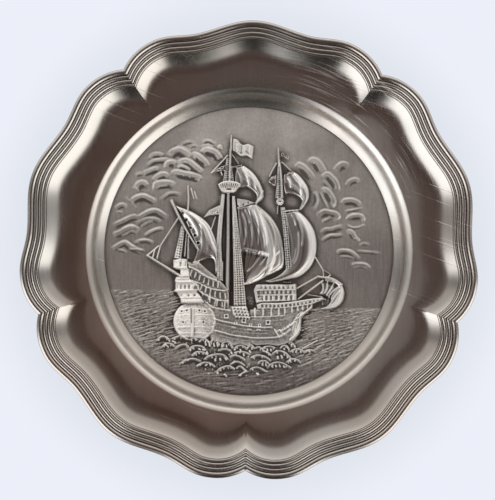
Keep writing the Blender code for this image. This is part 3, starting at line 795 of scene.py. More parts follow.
# Waves breaking by the hull, each from left to right with its rise and its reach below the lip
breakers = [
    (0.6, 5, (156, 341), (160, 337), (164, 336.3), (168, 338), (171, 341.5)),
    (0.7, 5, (171, 339), (177, 336.6), (181, 336), (188, 340)),
    (0.5, 4, (188, 340), (193, 338), (199, 339.5)),
    (0.7, 5, (198, 342), (202, 339), (206, 339), (210, 343)),
    (0.9, 6, (209.5, 343.5), (212, 340.2), (215, 339.8), (218, 341.5), (220.5, 346)),
    (1, 7, (220.5, 347.5), (222.5, 343), (226, 341.3), (230, 342.5), (234, 348.5)),
    (0.9, 5.5, (233, 350.5), (236, 346.5), (240, 345.2), (244, 346), (248.5, 350)),
    (0.9, 5, (246.5, 348.5), (249, 344.8), (251, 344.2), (253, 346), (255.5, 349)),
    (0.6, 4, (254.5, 348), (259, 346.6), (263, 349)),
    (0.8, 4.5, (261.5, 349.5), (264, 347), (268, 346.2), (272, 346.5), (276, 348)),
    (0.9, 5, (279.5, 349), (282, 345.8), (285.5, 345.3), (288, 347), (290, 350)),
    (0.6, 4, (288, 343.5), (291, 342), (295, 345)),
    (0.7, 5, (161, 347), (166, 343.5), (171, 343.5), (176, 347)),
    (0.7, 5, (174, 349), (180, 345), (186, 344.5), (190, 348)),
    (0.9, 6, (188, 350.5), (192, 346.5), (197, 345.5), (203, 346.8), (207, 351)),
    (0.9, 5.5, (191, 356), (195, 352.5), (199, 351.5), (205, 352.8), (209, 356)),
    (0.7, 4.5, (218.5, 350.5), (222, 349), (227, 349), (232, 351)),
    (0.7, 4, (233, 353), (238, 351.6), (245, 352), (251, 354.5)),
    (0.9, 5, (250, 357.5), (256, 355.3), (262, 355.5), (268, 358), (271.5, 361)),
    (0.6, 4, (262, 350.5), (267, 351.8), (272, 355.5)),
    (0.9, 6.5, (271, 354.5), (276, 351), (281, 350.8), (286, 353), (290, 357), (293.5, 361)),
    (0.6, 4.5, (289, 352), (295, 349), (301, 349.5), (305, 353)),
    (0.5, 4, (303, 353), (309, 350), (315, 350.5)),
    (1, 7, (203, 360), (207, 356.8), (212, 354.8), (218, 354), (224, 355), (229, 360)),
    (0.7, 5, (229, 357), (234, 355), (240, 356.5), (246, 360)),
    (0.8, 5, (257, 363.5), (261, 360.8), (266, 361), (270.5, 365)),
    (0.7, 5, (178, 364), (186, 360), (194, 358.5), (202, 361.5)),
    (0.8, 4.5, (196, 366), (203, 362.5), (210, 363), (216, 367)),
    (0.9, 5.5, (266, 368), (271, 364), (276, 362.3), (281, 362.5), (286, 364.5), (292, 368)),
    (0.6, 4, (229, 365), (235, 361.5), (241, 362.5), (246, 366)),
    (0.6, 5, (285, 363), (291, 359), (297, 359.5), (302, 363)),
    (0.9, 6, (215.5, 373), (219, 369), (224, 366.6), (230, 366), (236, 369.5)),
    (0.7, 5, (235, 368.5), (240, 366), (244, 368.5), (248.5, 373)),
    (0.7, 4.5, (249, 369.5), (255, 367.3), (261, 368.2), (268, 372)),
    (0.5, 4, (238, 376), (243, 372.5), (248, 371)),
]
foamDashes = [
    (183, 336.5, 188.5, 339.7), (205, 341, 206.2, 346), (208.5, 341, 210.2, 347), (213.5, 343, 214.5, 347),
    (216.8, 343, 218, 347), (251.6, 347.3, 251.9, 350), (277.5, 356, 278, 359.3), (281, 355, 282.5, 358.5),
    (296, 350.8, 296, 353.2), (300.4, 350.8, 301, 353.4), (309.5, 351, 309.8, 353), (290.4, 360.3, 291, 363),
    (294.6, 360, 295.2, 362), (198, 348.5, 201, 350.2), (202, 349.3, 204.5, 351), (231, 351.8, 232, 354.5),
    (243.6, 353.3, 244, 356.5), (220, 358, 220.6, 361), (215, 358.5, 215.5, 361.5), (225, 358, 226.5, 360.5),
    (271.5, 365.5, 273, 368), (275.4, 364.9, 276.6, 367.4), (279.4, 365, 280.6, 367.4),
    (283.4, 365.8, 284.6, 368), (262, 363.5, 263, 366), (265.6, 364, 266.6, 366.5), (191, 338.5, 192, 341.5),
    (195.2, 338.3, 196, 341), (172, 341, 176, 343), (164, 344, 169, 347.5), (240, 349, 241, 351.5),
    (267, 348.5, 267.8, 351.5), (270.6, 348.8, 271.4, 351.6), (276.4, 350, 276.8, 353), (291, 344, 291.8, 347),
    (294.4, 345, 295, 348), (284, 348, 284.6, 350.5), (205, 366, 207.5, 364.3), (224, 374, 227, 377),
    (243, 373, 247, 371), (256, 373, 259, 375), (222.5, 345, 222.2, 348), (226.4, 344.6, 226.6, 348),
    (232, 364, 235, 361), (206.5, 351.5, 208, 354.5), (249, 350.5, 251, 353),
]


def breaker(clay, lip, reach, rise):
    # a back rising to a thin lip, and the hollow of the wave in front of it, painted dark as painted shade
    path = curve(lip, 4)
    area, x, y = clay.spread(path, reach + 2)
    away, run, side, length = follow(path, x, y)
    below = side * away
    taper = np.sin(math.pi * np.clip(run / length, 0, 1)) ** 0.6
    within = ease(below, -0.6, 0.1) * (1 - ease(below, 0.6 * reach, reach)) * ease(taper, 0.05, 0.5)
    base = clay.base[area]
    hollow = ease(below, 0.6, 1.5) * (1 - ease(below, 0.5 * reach, reach)) * taper
    clay.cover(area, within, base + rise * (0.35 + 0.65 * taper) * (1 - 0.75 * ease(below, 0.5, 0.5 * reach)))
    clay.stain[area] = clay.stain[area] * (1 - within) + 0.5 * hollow
    clay.satin[area] *= 1 - within


def modelWaves(clay):
    foam = np.random.default_rng(8)
    for share, reach, *lip in breakers:
        breaker(clay, lip, reach, 0.3 + share * seaLook["breakerRise"])
    # the lips are given painted highlights
    for share, reach, *lip in breakers:
        area, line = crease(clay, 0.42, 0.3 * share, 0.25, *lip)
        clay.finish(area, line, 0.8, 0.25)
        clay.paintSheen(area, (0.15 + 0.4 * share) * line)
        # a fainter line inside it, as in fish scales, and drops of foam between the two, each with a painted
        # highlight
        area, line = crease(clay, 0.4, 0.16, 0.3, *[(x, y + 0.42 * reach) for x, y in lip])
        clay.paintSheen(area, 0.4 * line)
        for x, y in curve(lip, 3)[2:-2:2]:
            if foam.random() < 0.5:
                top = y + 0.22 * reach
                foot = (x + foam.uniform(-0.6, 0.6), top + foam.uniform(0.3, 0.6) * reach)
                area, line = crease(clay, 0.5, 0.4, 0.15, (x, top), foot)
                clay.paintSheen(area, 0.85 * line)
    # dashes of foam, polished and given painted highlights
    for ax, ay, bx, by in foamDashes:
        area, line = crease(clay, 0.75, 0.75, 0.12, (ax, ay), (bx, by))
        clay.finish(area, line, 1.0)
        clay.paintSheen(area, line)
    # spray over the waves, then the long lines of the swell below them
    rng = np.random.default_rng(5)
    for _ in range(120):
        x, y = rng.uniform(186, 300), rng.uniform(340, 374)
        lean = rng.uniform(-1.1, 1.1)
        foot = (x + lean, y + rng.uniform(1.5, 3.2))
        crease(clay, 0.45, rng.uniform(-0.3, 0.45), 0.2, (x, y), foot)
    for k in range(7):
        y, half = 372 + 3.2 * k, 40 - 3 * k
        points = []
        for t in np.linspace(0, 1, 9):
            points.append((244 + (t - 0.5) * 2 * half, y + 1.1 * math.sin(2.2 * k + 9 * t) - 3.2 * (t - 0.4)))
        crease(clay, 0.8, 0.20, 0.15, *points)
    rib(clay, 0.75, 0.85, 0.5, 1.0, (302.5, 348.6), (317.2, 340.6))


# Galleon
shipLook = {
    "window": (144, 132, 349, 349), "clayCell": 0.3, "cell": 0.345,
    "hull": 2.6, "folds": 0.6, "streaks": 0.045, "rope": 0.55,
    "sunk": -0.45, "shown": -0.28,       # clay outside the ship lies this low, and is cast above that height
    "split": 259.0, "tuck": 0.08,        # where the rig's mesh meets the hull's, and how far its border sinks
}

# painted highlights across a sail, as painted sheen, from its leech, 0, to its luff, 1
paintedHighlights = {
    "plain": [(0, 0.4), (0.05, 0.9), (0.13, 1.1), (0.22, 0.65), (0.3, 0.15), (0.42, 0.0), (0.55, 0.1),
              (0.75, 0.0), (1, 0.05)],
    "course": [(0, 0.5), (0.04, 0.25), (0.12, 0.08), (0.2, 0.16), (0.27, 0.5), (0.32, 0.9), (0.38, 0.4),
               (0.45, 0.05), (0.7, 0.0), (1, 0.05)],
    "topsail": [(0, 0.45), (0.05, 0.95), (0.13, 1.1), (0.22, 0.85), (0.3, 0.4), (0.42, 0.12), (0.55, 0.2),
                (0.75, 0.08), (1, 0.1)],
    "bright": [(0, 0.6), (0.12, 1.1), (0.28, 0.95), (0.42, 0.35), (0.6, 0.1), (0.8, 0.22), (1, 0.1)],
}


def sail(clay, leech, luff, profile, edge=1.2, shine=0.6, paintedHighlight="plain"):
    # a swelling cloth between its outer edge and its inner one; profile gives the height from
    # the leech, 0, to the luff, 1, and the last argument the painted highlights across it
    outer, inner = curve(leech), curve(luff)
    outline = outer + inner
    area, x, y = clay.spread(outline, 2.5)
    depth = inside(outline, x, y)
    toLeech, toLuff = follow(outer, x, y)[0], follow(inner, x, y)[0]
    share = toLeech / np.maximum(toLeech + toLuff, 1e-6)
    height = soften(np.interp(share, *zip(*profile)), 4.5)
    # fine streaks of the graver, running the way of the cloth
    count = int(np.max((toLeech + toLuff)[depth > 0]) / 1.1) + 2
    streaks = np.random.default_rng(count).standard_normal(count)
    streaks = np.interp(share * (count - 1), np.arange(count), streaks) * ease(depth, 1, 3)
    height += shipLook["streaks"] * streaks
    height = np.where(depth > 0, height * np.clip(shelf(depth / edge), 0, 1), 3.0 * depth)
    clay.lift(area, height)
    clay.finish(area, ease(depth, -0.2, 0.3), shine)
    # painted highlights across the cloth, brightest near the leech
    soft = np.interp(share, *zip(*paintedHighlights[paintedHighlight]))
    soft = (soften(soft, 2.0) + 0.03) * (1 + 0.6 * streaks) * ease(depth, -0.2, 0.8)
    clay.satin[area] = np.where(depth > 0, np.clip(soft, 0, 1.1), clay.satin[area])
    clay.stain[area] = np.where(depth > 0, -0.16 * streaks, clay.stain[area])


def fold(clay, width, rise, ends, *points):
    area, line = crease(clay, width, rise * shipLook["folds"], ends, *points)
    # a fold also gets a painted highlight along it
    clay.satin[area] = np.clip(clay.satin[area] + 0.8 * rise * line, 0, 1.1)


def shadeIn(clay, outline, share):
    # takes the painted highlight away from a patch, leaving painted shade
    area, x, y = clay.spread(outline, 2.0)
    clay.clearPaintedSheen(area, share * ease(inside(outline, x, y), -0.5, 3.0))


def modelSails(clay):
    # lateen sail on the mizzen
    sail(clay,
         [(174, 204), (178, 206.3), (193.7, 212.6), (207.7, 223), (214.7, 236.5), (218.2, 249), (218.2, 263),
          (215.6, 277)],
         [(214.6, 270), (213.3, 260.4), (207.7, 259), (199.3, 261.8), (192.3, 264), (196.4, 250), (190, 232),
          (181, 214)],
         [(0, 0.5), (0.06, 1.3), (0.16, 2), (0.3, 2.5), (0.45, 2.5), (0.7, 2), (1, 1.5)])
    work(clay, fold,
         (1.1, 0.55, 0.25, (178, 208.4), (186, 214), (192, 221), (197.5, 232), (198.4, 240)),
         (0.8, 0.35, 0.25, (196, 212), (201, 226), (202, 240), (201.5, 250), (198, 258)),
         (0.8, 0.28, 0.25, (182, 209), (195, 218), (205, 233), (208, 248), (205, 259)),
         (0.8, 0.22, 0.25, (186, 209.6), (201, 221), (210, 236), (213, 250), (212, 259)))
    # main topsail
    sail(clay,
         [(244, 165.4), (253.3, 172.7), (260.4, 183.2), (264, 195), (261, 201), (257, 203)],
         [(255.6, 201), (256.2, 196), (253.3, 191), (247, 186.8), (241.4, 187.5), (235, 188.5), (234.5, 178),
          (236, 167.5)],
         [(0, 0.5), (0.06, 1.2), (0.18, 1.9), (0.32, 2.2), (0.5, 2), (0.75, 1.6), (1, 1.4)], paintedHighlight="topsail")
    work(clay, fold,
         (1.2, 0.55, 0.1, (242, 166.5), (246.3, 173.4), (248.6, 180), (250, 187)),
         (0.8, 0.3, 0.25, (244, 166), (250.5, 174), (255.5, 184), (256.5, 193)),
         (0.6, 0.35, 0.1, (237, 169), (240.5, 176), (242, 184)),
         (0.8, 0.5, 0.1, (241.5, 187.3), (247, 187), (252, 189.4), (255.6, 193.5)))
    rib(clay, 1.3, 2.3, 0.8, 1, (256.5, 202.8), (259.8, 199), (261.6, 195), (263, 191))
    # main course
    sail(clay,
         [(256.3, 203.5), (265.5, 211), (273.2, 219), (280.2, 231.6), (284.4, 249), (284.7, 263), (281, 270),
          (267.5, 276.5), (250, 285)],
         [(241, 286), (240.5, 268), (239, 250), (238, 230), (237, 208)],
         [(0, 0.6), (0.035, 1.5), (0.09, 2.2), (0.17, 2.85), (0.24, 3.05), (0.31, 2.95), (0.4, 2.5), (0.5, 2.1),
          (0.75, 1.8), (1, 1.6)], paintedHighlight="course")
    shadeIn(clay, [(241, 250.5), (256, 253.4), (268.5, 256.5), (266.5, 267), (259, 276), (248, 282.5),
        (240, 284)], 0.75)
    press(clay, [(241, 250.5), (256, 253.4), (268.5, 256.5), (266.5, 267), (259, 276), (248, 282.5),
        (240, 284)], 1, 2.6)
    work(clay, fold,
         (0.8, 0.35, 0.1, (242.8, 248.4), (252, 250.3), (259, 252)),
         (1, 0.75, 0.06, (258.5, 252.3), (263, 253), (269.6, 255.4)),
         (1.2, 0.55, 0.12, (256, 207), (261, 216), (265, 227), (266.8, 238), (267, 248)),
         (0.6, 0.3, 0.25, (263, 230), (264.6, 240), (264.4, 251)),
         (0.6, 0.36, 0.12, (252.6, 206.8), (257, 217), (259, 228), (258.5, 240), (257.5, 248)),
         (0.65, 0.42, 0.1, (249, 208), (251, 220), (252.3, 234), (251.6, 248)),
         (0.7, 0.42, 0.1, (245, 208.5), (248.4, 216), (250.4, 224)),
         (0.7, 0.42, 0.1, (242, 211), (245.4, 222), (246, 234), (243.4, 247)),
         (0.6, 0.25, 0.25, (239, 214), (240.5, 228), (240.6, 240)),
         (0.8, 0.34, 0.25, (260, 208), (268, 218), (274, 232), (275, 246), (273.6, 256)),
         (0.8, 0.2, 0.25, (264, 211), (273, 223), (279, 238), (280.5, 250)),
         (0.9, 0.8, 0.1, (274.2, 246), (274.3, 257), (269, 270), (262.6, 278), (250, 284)),
         (1.1, 0.45, 0.1, (281.6, 246), (283, 258), (281.5, 265), (274, 271.4), (266, 276)),
         (0.6, 0.45, 0.05, (280, 250.5), (277.6, 252.5), (275, 255)),
         (0.65, 0.5, 0.05, (261.4, 254.6), (256, 263), (250.5, 269), (246.6, 271.6)),
         (0.6, 0.4, 0.05, (266.6, 256.5), (264, 261), (260, 265.6)))
    # fore topsail
    sail(clay,
         [(292, 170.5), (297.5, 173.5), (303.5, 179.7), (308.4, 188), (309.4, 196.6), (306.3, 203.6),
          (301.4, 210), (298.6, 210)],
         [(300, 206), (301.4, 200.4), (298.5, 196.5), (293.5, 193.9), (288, 193.2), (285.3, 194), (283, 186),
          (283, 176)],
         [(0, 0.5), (0.07, 1.3), (0.19, 1.95), (0.33, 2.2), (0.5, 2), (0.75, 1.6), (1, 1.4)], paintedHighlight="topsail")
    work(clay, fold,
         (1, 0.5, 0.1, (294, 173.5), (298.5, 180), (301.4, 188), (301.6, 197)),
         (0.7, 0.4, 0.1, (288, 177), (290.6, 182), (291.4, 188.5)),
         (0.6, 0.35, 0.1, (284.6, 177), (286.4, 183)),
         (0.8, 0.42, 0.05, (285.4, 193.8), (291, 193.2), (297, 195.4), (301.4, 200)))
    # fore course
    sail(clay,
         [(298.4, 210.5), (305, 216.5), (311, 224), (315, 232), (317, 243), (315.8, 256), (310.8, 267),
          (301, 276), (289, 279.5), (270, 283)],
         [(262, 281), (275, 277), (286, 267), (287, 250), (285, 232), (283, 213)],
         [(0, 0.5), (0.05, 1.1), (0.14, 1.8), (0.28, 2.5), (0.42, 2.75), (0.55, 2.5), (0.8, 1.9), (1, 1.6)])
    work(clay, fold,
         (0.9, 0.4, 0.12, (297.4, 212), (304, 222), (308.5, 233), (309.4, 242)),
         (0.8, 0.42, 0.12, (295, 215.5), (299.6, 223), (302.4, 234), (302, 248)),
         (0.7, 0.4, 0.1, (291.4, 213.5), (294.6, 219), (296, 226)), (0.6, 0.3, 0.1, (286.4, 215), (288.4, 226)),
         (0.7, 0.4, 0.1, (298.4, 230), (299, 244), (297.6, 256), (293, 265.5)),
         (0.6, 0.35, 0.1, (296, 248), (294.6, 258), (292, 263)),
         (0.8, -0.35, 0.12, (315, 246), (311, 259), (303, 269.5), (293, 277)))
    # spritsail
    sail(clay,
         [(325, 278.6), (333, 279.6), (339, 282), (343, 286.5), (344.8, 293.3), (343, 301), (338, 306.5),
          (331, 308.8), (320, 309.5)],
         [(321, 307.8), (327, 305.6), (330.4, 301), (330.6, 297), (334.6, 291), (338, 286.6), (333, 283),
          (325, 281.4)],
         [(0, 0.5), (0.12, 1.5), (0.26, 2.3), (0.42, 2.1), (0.6, 1.4), (1, 1)], 0.9, 0.8, "bright")
    slab(clay, [(322, 282), (334, 286), (335, 290), (330, 297), (328.5, 304.5), (322, 305)], 0.45, 1.5,
        shine=0.1)
    work(clay, fold,
         (0.7, 0.6, 0.1, (341, 290), (336, 296), (331, 303)),
         (0.7, 0.5, 0.05, (320.5, 309.2), (330, 308.6), (337, 306.4)))
    for rope in (
            [(321.6, 282), (323.2, 287), (322.6, 291), (320.6, 293.6)],
            [(327.6, 282.5), (327, 288), (324.4, 293.3)], [(333.6, 284), (331, 289), (327, 294.7)],
            [(339.6, 286), (334, 290.4), (329, 296)]):
        rib(clay, 0.75, 1.2, 0.75, 0.9, *rope)


def modelSpars(clay):
    # mizzen
    work(clay, rib,
         (0.9, 1.5, 1, 0.8, (188, 186), (188.5, 200), (187.6, 212)),
         (0.9, 1.5, 1.1, 0.5, (188.4, 236), (188, 258)))
    for a, b in (((191, 188.5), (193.8, 198.5)), ((194.5, 192), (196.8, 198.6))):
        rib(clay, 0.9, 1, 0.7, 0.9, a, b)
    slab(clay, [(182, 228), (197, 252), (193, 259), (181, 259)], 0.2, 1)
    ladder(clay, 1.9, 3.6, (-0.8, 0, 0.8), 2.7, 0.7, 0.75, 0.9, (182.9, 226), (180.8, 240), (177.6, 258.6))
    rib(clay, 0.7, 1.4, 0.8, 0.6, (186.6, 232), (184.6, 256))
    rib(clay, 1.5, 3, 0.9, 1, (171.6, 200.9), (179, 217), (189.5, 236), (198, 249.6), smooth=False)
    for x, y in ((181, 213), (184.5, 220), (188.8, 228), (193.3, 235.5), (196.6, 243)):
        dot(clay, x + 1.4, y, 1.3, 1.3)
    rib(clay, 0.8, 1.5, 0.7, 0.9, (178.6, 217.5), (160.4, 245.6), (157, 258.6), smooth=False)
    work(clay, rib,
         (1.05, 2.2, 1.4, 1, (147, 255.6), (182, 277.4)),
         (0.8, 1.3, 0.8, 0.8, (147, 255.6), (154, 250), (158.5, 246)),
         (0.8, 1.2, 0.8, 0.8, (154.6, 250), (152.6, 257.5)))
    # the boom catches more light than the ropes
    area, x, y = clay.spread([(147, 248), (178, 276)], 1)
    clay.paintSheen(area, 0.9 * ease(clay.height[area], 0.3, 1.3))
    # main mast and its top
    work(clay, rib,
         (0.95, 1.8, 1.2, 0.6, (231.4, 135.5), (230.9, 150), (230.4, 165)),
         (1.2, 2.2, 1.5, 0.6, (230.4, 165), (228.6, 186)))
    ladder(clay, 2.2, 6, (-0.85, -0.5, 0.5, 0.85), 2.2, 0.8, 0.8, 0.6, (228.5, 158), (228.5, 172), (228.5, 183))
    work(clay, rib,
         (1.1, 2.3, 1.5, 0.6, (230.4, 150), (229.4, 184)), (0.8, 1.4, 0.8, 1, (227.6, 155.4), (211.4, 172.9)),
         (0.6, 1.1, 0.6, 0.5, (232.3, 154.6), (238.6, 163.5)))
    slab(clay, [(211, 173.6), (217, 168), (223, 165), (227, 164.5), (227, 171.5), (220.4, 171.3), (215, 172.6)],
        1.6, 1.5, shine=0.7)
    rib(clay, 0.8, 1.3, 0.8, 1, (221, 172), (222.2, 175))
    for x, y in ((221.8, 167.6), (219, 169.4)):
        dot(clay, x, y, 0.9, 1)
    slab(clay, [(231, 166), (242.5, 163.7), (242.5, 167), (231, 168.6)], 1.8, 1.2, shine=0.6)
    for x in (231.4, 235.6):
        dot(clay, x, 164.6, 0.8, 0.8)
    slab(clay, [(233, 139), (237.6, 139.6), (240.4, 143), (243.6, 144.6), (248, 143.6), (251, 144.8),
        (253.6, 146.8), (252.8, 155), (252, 158.8), (248, 156), (245.6, 155.4), (240.7, 156), (236, 152),
        (232.3, 149.2)], 1, 1.4, smooth=True, shine=0.75, grain=0.6, stain=0.12)
    for x in (237.5, 241.8, 245.2, 250.5):
        area, line = crease(clay, 1, 0.35 if x != 241.8 else -0.4, 0.2, (x, 143), (x - 0.8, 155))
        clay.stain[area] += 0.25 * line * (1 if x == 241.8 else -0.5)
    area, line = crease(clay, 1.6, -0.25, 0.1, (234, 148.5), (240, 153.2), (246, 151.6), (252, 155))
    clay.stain[area] += 0.25 * line
    crease(clay, 0.65, 0.6, 0.05, (232.3, 149.4), (240.7, 156), (245.6, 155.4), (248, 155.8), (252, 158.7))
    # gap beside the mast, the mast and its ladders
    slab(clay, [(219.5, 196), (236, 196), (247, 306), (218, 282)], 0.25, 1)
    rib(clay, 2, 1.9, 2.5, 0.2, (228.3, 192), (228.2, 240), (227.4, 291), smooth=False)
    crease(clay, 0.5, 0.35, 0.02, (228.9, 193), (228.9, 240), (228.3, 290), smooth=False)
    ladder(clay, 1.8, 3.1, (-0.85, -0.3, 0.3, 0.85), 1.75, 1.1, 0.8, 1, (223.2, 194), (222.2, 204),
        (220.3, 222), (219, 242), (219.3, 262), (219.8, 281))
    rib(clay, 0.7, 1.6, 0.8, 0.7, (222.6, 262), (222.4, 281))
    ladder(clay, 1.6, 6.4, (-0.92, -0.46, 0, 0.46, 0.92), 2.35, 1.5, 0.8, 1, (233.4, 196), (234.6, 215),
        (236.6, 245), (238.5, 275), (240, 306))
    # top
    slab(clay, [(217.6, 184.4), (222, 181.6), (229, 180.6), (236, 181.8), (240.4, 184), (239, 187.5),
        (236.2, 191.6), (233.5, 193.6), (224.4, 193.6), (221.8, 192.4), (219.5, 189)], 2.3, 1.6, shine=0.9,
        grain=0.5)
    for i in range(9):
        x = 219.8 + i * 2.3
        lean = (x - 229.2) * 0.22
        area, line = crease(clay, 0.5, -0.8, 0.1, (x, 183.2), (x - lean, 188.2))
        clay.stain[area] += 0.9 * line
    # a raised line round the top, with a painted highlight along it
    area, line = crease(clay, 0.6, 0.5, 0.02, (218.2, 184.8), (223, 182.2), (229, 181.2), (235, 182.2),
        (240.2, 184.8))
    clay.paintSheen(area, line)
    crease(clay, 0.8, 0.5, 0.02, (221, 191.2), (229, 192.2), (237, 191))
    area, gx, gy = clay.spread([(229, 189)], 5)
    clay.add(area, -1.3 * np.exp(-((gx - 229) / 2.8) ** 4 - ((gy - 189.2) / 0.9) ** 2))
    # main yard
    slab(clay, [(202.8, 218.3), (209, 210), (221, 204.3), (220.4, 210), (219.6, 214.8), (210, 215.5)], 1.7, 1.6,
        shine=0.7, grain=0.4)
    for x, y in ((208.5, 214.6), (212, 213.6), (217.5, 212.8)):
        dot(clay, x, y, 0.9, 0.9)
    knob(clay, 215.6, 213.4, 1.2, 2.4)
    slab(clay, [(236.5, 198.3), (246, 199.7), (256.5, 203.2), (246, 206.4), (236.8, 209.2)], 1.8, 1.4,
        shine=0.6, grain=0.4)
    crease(clay, 0.75, 0.6, 0.05, (237.6, 198.5), (246, 200.2), (256, 203.3))
    for x, y in ((237.8, 206.2), (243.2, 204.6), (248.3, 202.8)):
        dot(clay, x, y, 0.9, 1.2)
    rib(clay, 0.7, 1.3, 0.7, 0.8, (215.4, 217), (211.5, 229))
    # fore mast
    rib(clay, 0.95, 1.9, 1.5, 0.55, (278.6, 148.2), (279.4, 200))
    slab(clay, [(280.6, 153.4), (282.6, 151.6), (284.4, 154), (286, 156.4), (288.4, 153.6), (289.2, 156),
        (288.5, 160.2), (284.5, 157.6), (281, 156.4)], 1.5, 0.9, shine=1, stain=-0.3)
    work(clay, rib,
         (0.65, 1.3, 0.65, 0.9, (276.6, 163), (272.6, 170), (269.6, 176.4)),
         (0.7, 1.2, 0.7, 0.9, (281.8, 162), (286, 165.6), (291, 170.6)))
    ladder(clay, 1.5, 4.4, (-0.85, -0.4, 0.4, 0.85), 2.2, 0.9, 0.7, 0.4, (279, 166), (279.4, 180), (279.6, 198))
    rib(clay, 1.1, 2.2, 1.2, 0.5, (279.4, 160), (281.4, 176), (282.4, 197))
    slab(clay, [(267.6, 182), (271, 176.5), (276.8, 174), (276.8, 180), (275.5, 187), (271, 184)], 1.4, 1.3,
        shine=0.7)
    crease(clay, 0.6, 0.5, 0.05, (270, 183), (274, 187))
    for x, y in ((271.4, 178), (274.8, 177.6)):
        dot(clay, x, y, 0.8, 0.7)
    slab(clay, [(283, 174.8), (289, 171.2), (294.6, 170.4), (293, 175), (284, 176.4)], 1.8, 1.2, shine=0.6)
    for x, y in ((286.4, 173.6), (291, 171.8)):
        dot(clay, x, y, 0.8, 1)
    knob(clay, 280, 201.6, 4.6, 2.6)
    for a in range(6):
        dot(clay, 280 + 2.6 * math.cos(a * math.pi / 3), 201.6 + 2.4 * math.sin(a * math.pi / 3), 0.6, 0.6)
    clay.finish(*clay.around(280, 201.6, 5.2), 0.8)
    rib(clay, 1.1, 2.5, 0.9, 0.8, (284, 211.4), (298, 210.1))
    for i in range(3):
        knob(clay, 286.6 + i * 3.4, 211.2 - 0.2 * i, 1.3, 2.9)
    work(clay, ladder,
         (0.9, 0.9, (0,), 2, 0.9, 0.5, 0.4, (277.8, 206), (277.6, 214)),
         (2.5, 3, (-0.8, 0, 0.8), 2.3, 1.5, 0.8, 0.5, (282.6, 207), (285, 225), (286.8, 245), (288.6, 268)))
    # bowsprit, its stays and the spritsail's yard
    work(clay, rib,
         (0.75, 1.5, 0.75, 1, (315.6, 257.5), (323.2, 270)), (0.65, 1.2, 0.65, 0.8, (323.2, 270), (323.8, 277)),
         (0.55, 0.9, 0.55, 0.3, (323.4, 269.6), (330.2, 274.2)),
         (0.85, 1.5, 0.85, 0.8, (318, 276.6), (296, 289)), (1, 1.9, 0.8, 0.9, (323, 280.6), (298, 299.4)),
         (0.6, 1, 0.6, 0.6, (307.5, 294.7), (321, 296.8)),
         (1.1, 2, 0.8, 0.9, (318, 276.6), (326.5, 277.6), (330.4, 275.4)),
         (1.3, 2.3, 1.2, 0.9, (326, 277.6), (334, 279.6), (342, 284.8)))
    for x, y in ((321.6, 297), (325, 299.4), (329, 297.4), (331.6, 298.5), (327, 295.5), (322.4, 293.8)):
        knob(clay, x, y, 1.3, 2)


def port(clay, x, y, half, frameRise=0.5, depth=0.6):
    # square gun port: raised frame round a hole, the frame polished and given a painted highlight
    left, right = x - half - 0.9, x + half + 0.9
    top, low = y - half - 0.6, y + half + 1.0
    ring = [(left, top), (right, top), (right, low), (left, low)]
    hole = [(x - half, y - half), (x + half, y - half), (x + half, y + half), (x - half, y + half)]
    area, gx, gy = clay.spread(ring, 1)
    frameHere = np.clip(shelf(inside(ring, gx, gy) / 0.7), 0, 1)
    clay.add(area, frameRise * frameHere)
    clay.finish(area, frameHere, 0.9)
    clay.paintSheen(area, frameHere)
    press(clay, hole, frameRise + depth, 0.7)


def posts(clay, spine, startHalf, endHalf, pitch, postWidth, rise, hollow, phase, lean=0.0):
    # balusters of equal pitch standing across a band, over a sunk panel
    area, run, across, half, edge, length = strip(clay, spine, startHalf, endHalf)
    wave = np.abs((((run + lean * across) / pitch + phase) % 1.0) - 0.5) * pitch
    bar = np.exp(-(wave / postWidth) ** 2)
    weight = ease(edge, -0.15, 0.35)
    clay.add(area, weight * (rise * bar - hollow * (1 - bar)))
    clay.finish(area, weight * bar, 0.8, 0.6)


def rail(clay, width, rise, shine, ends, *points):
    # a raised line with a polished top and a painted highlight along it
    crease(clay, width, rise, ends, *points)
    line = curve(points) if len(points) > 2 else points
    area, x, y = clay.spread(line, width * 2)
    top = np.exp(-(follow(line, x, y)[0] / width) ** 2)
    clay.finish(area, top, shine, 0.4)
    clay.paintSheen(area, 0.7 * shine * top)


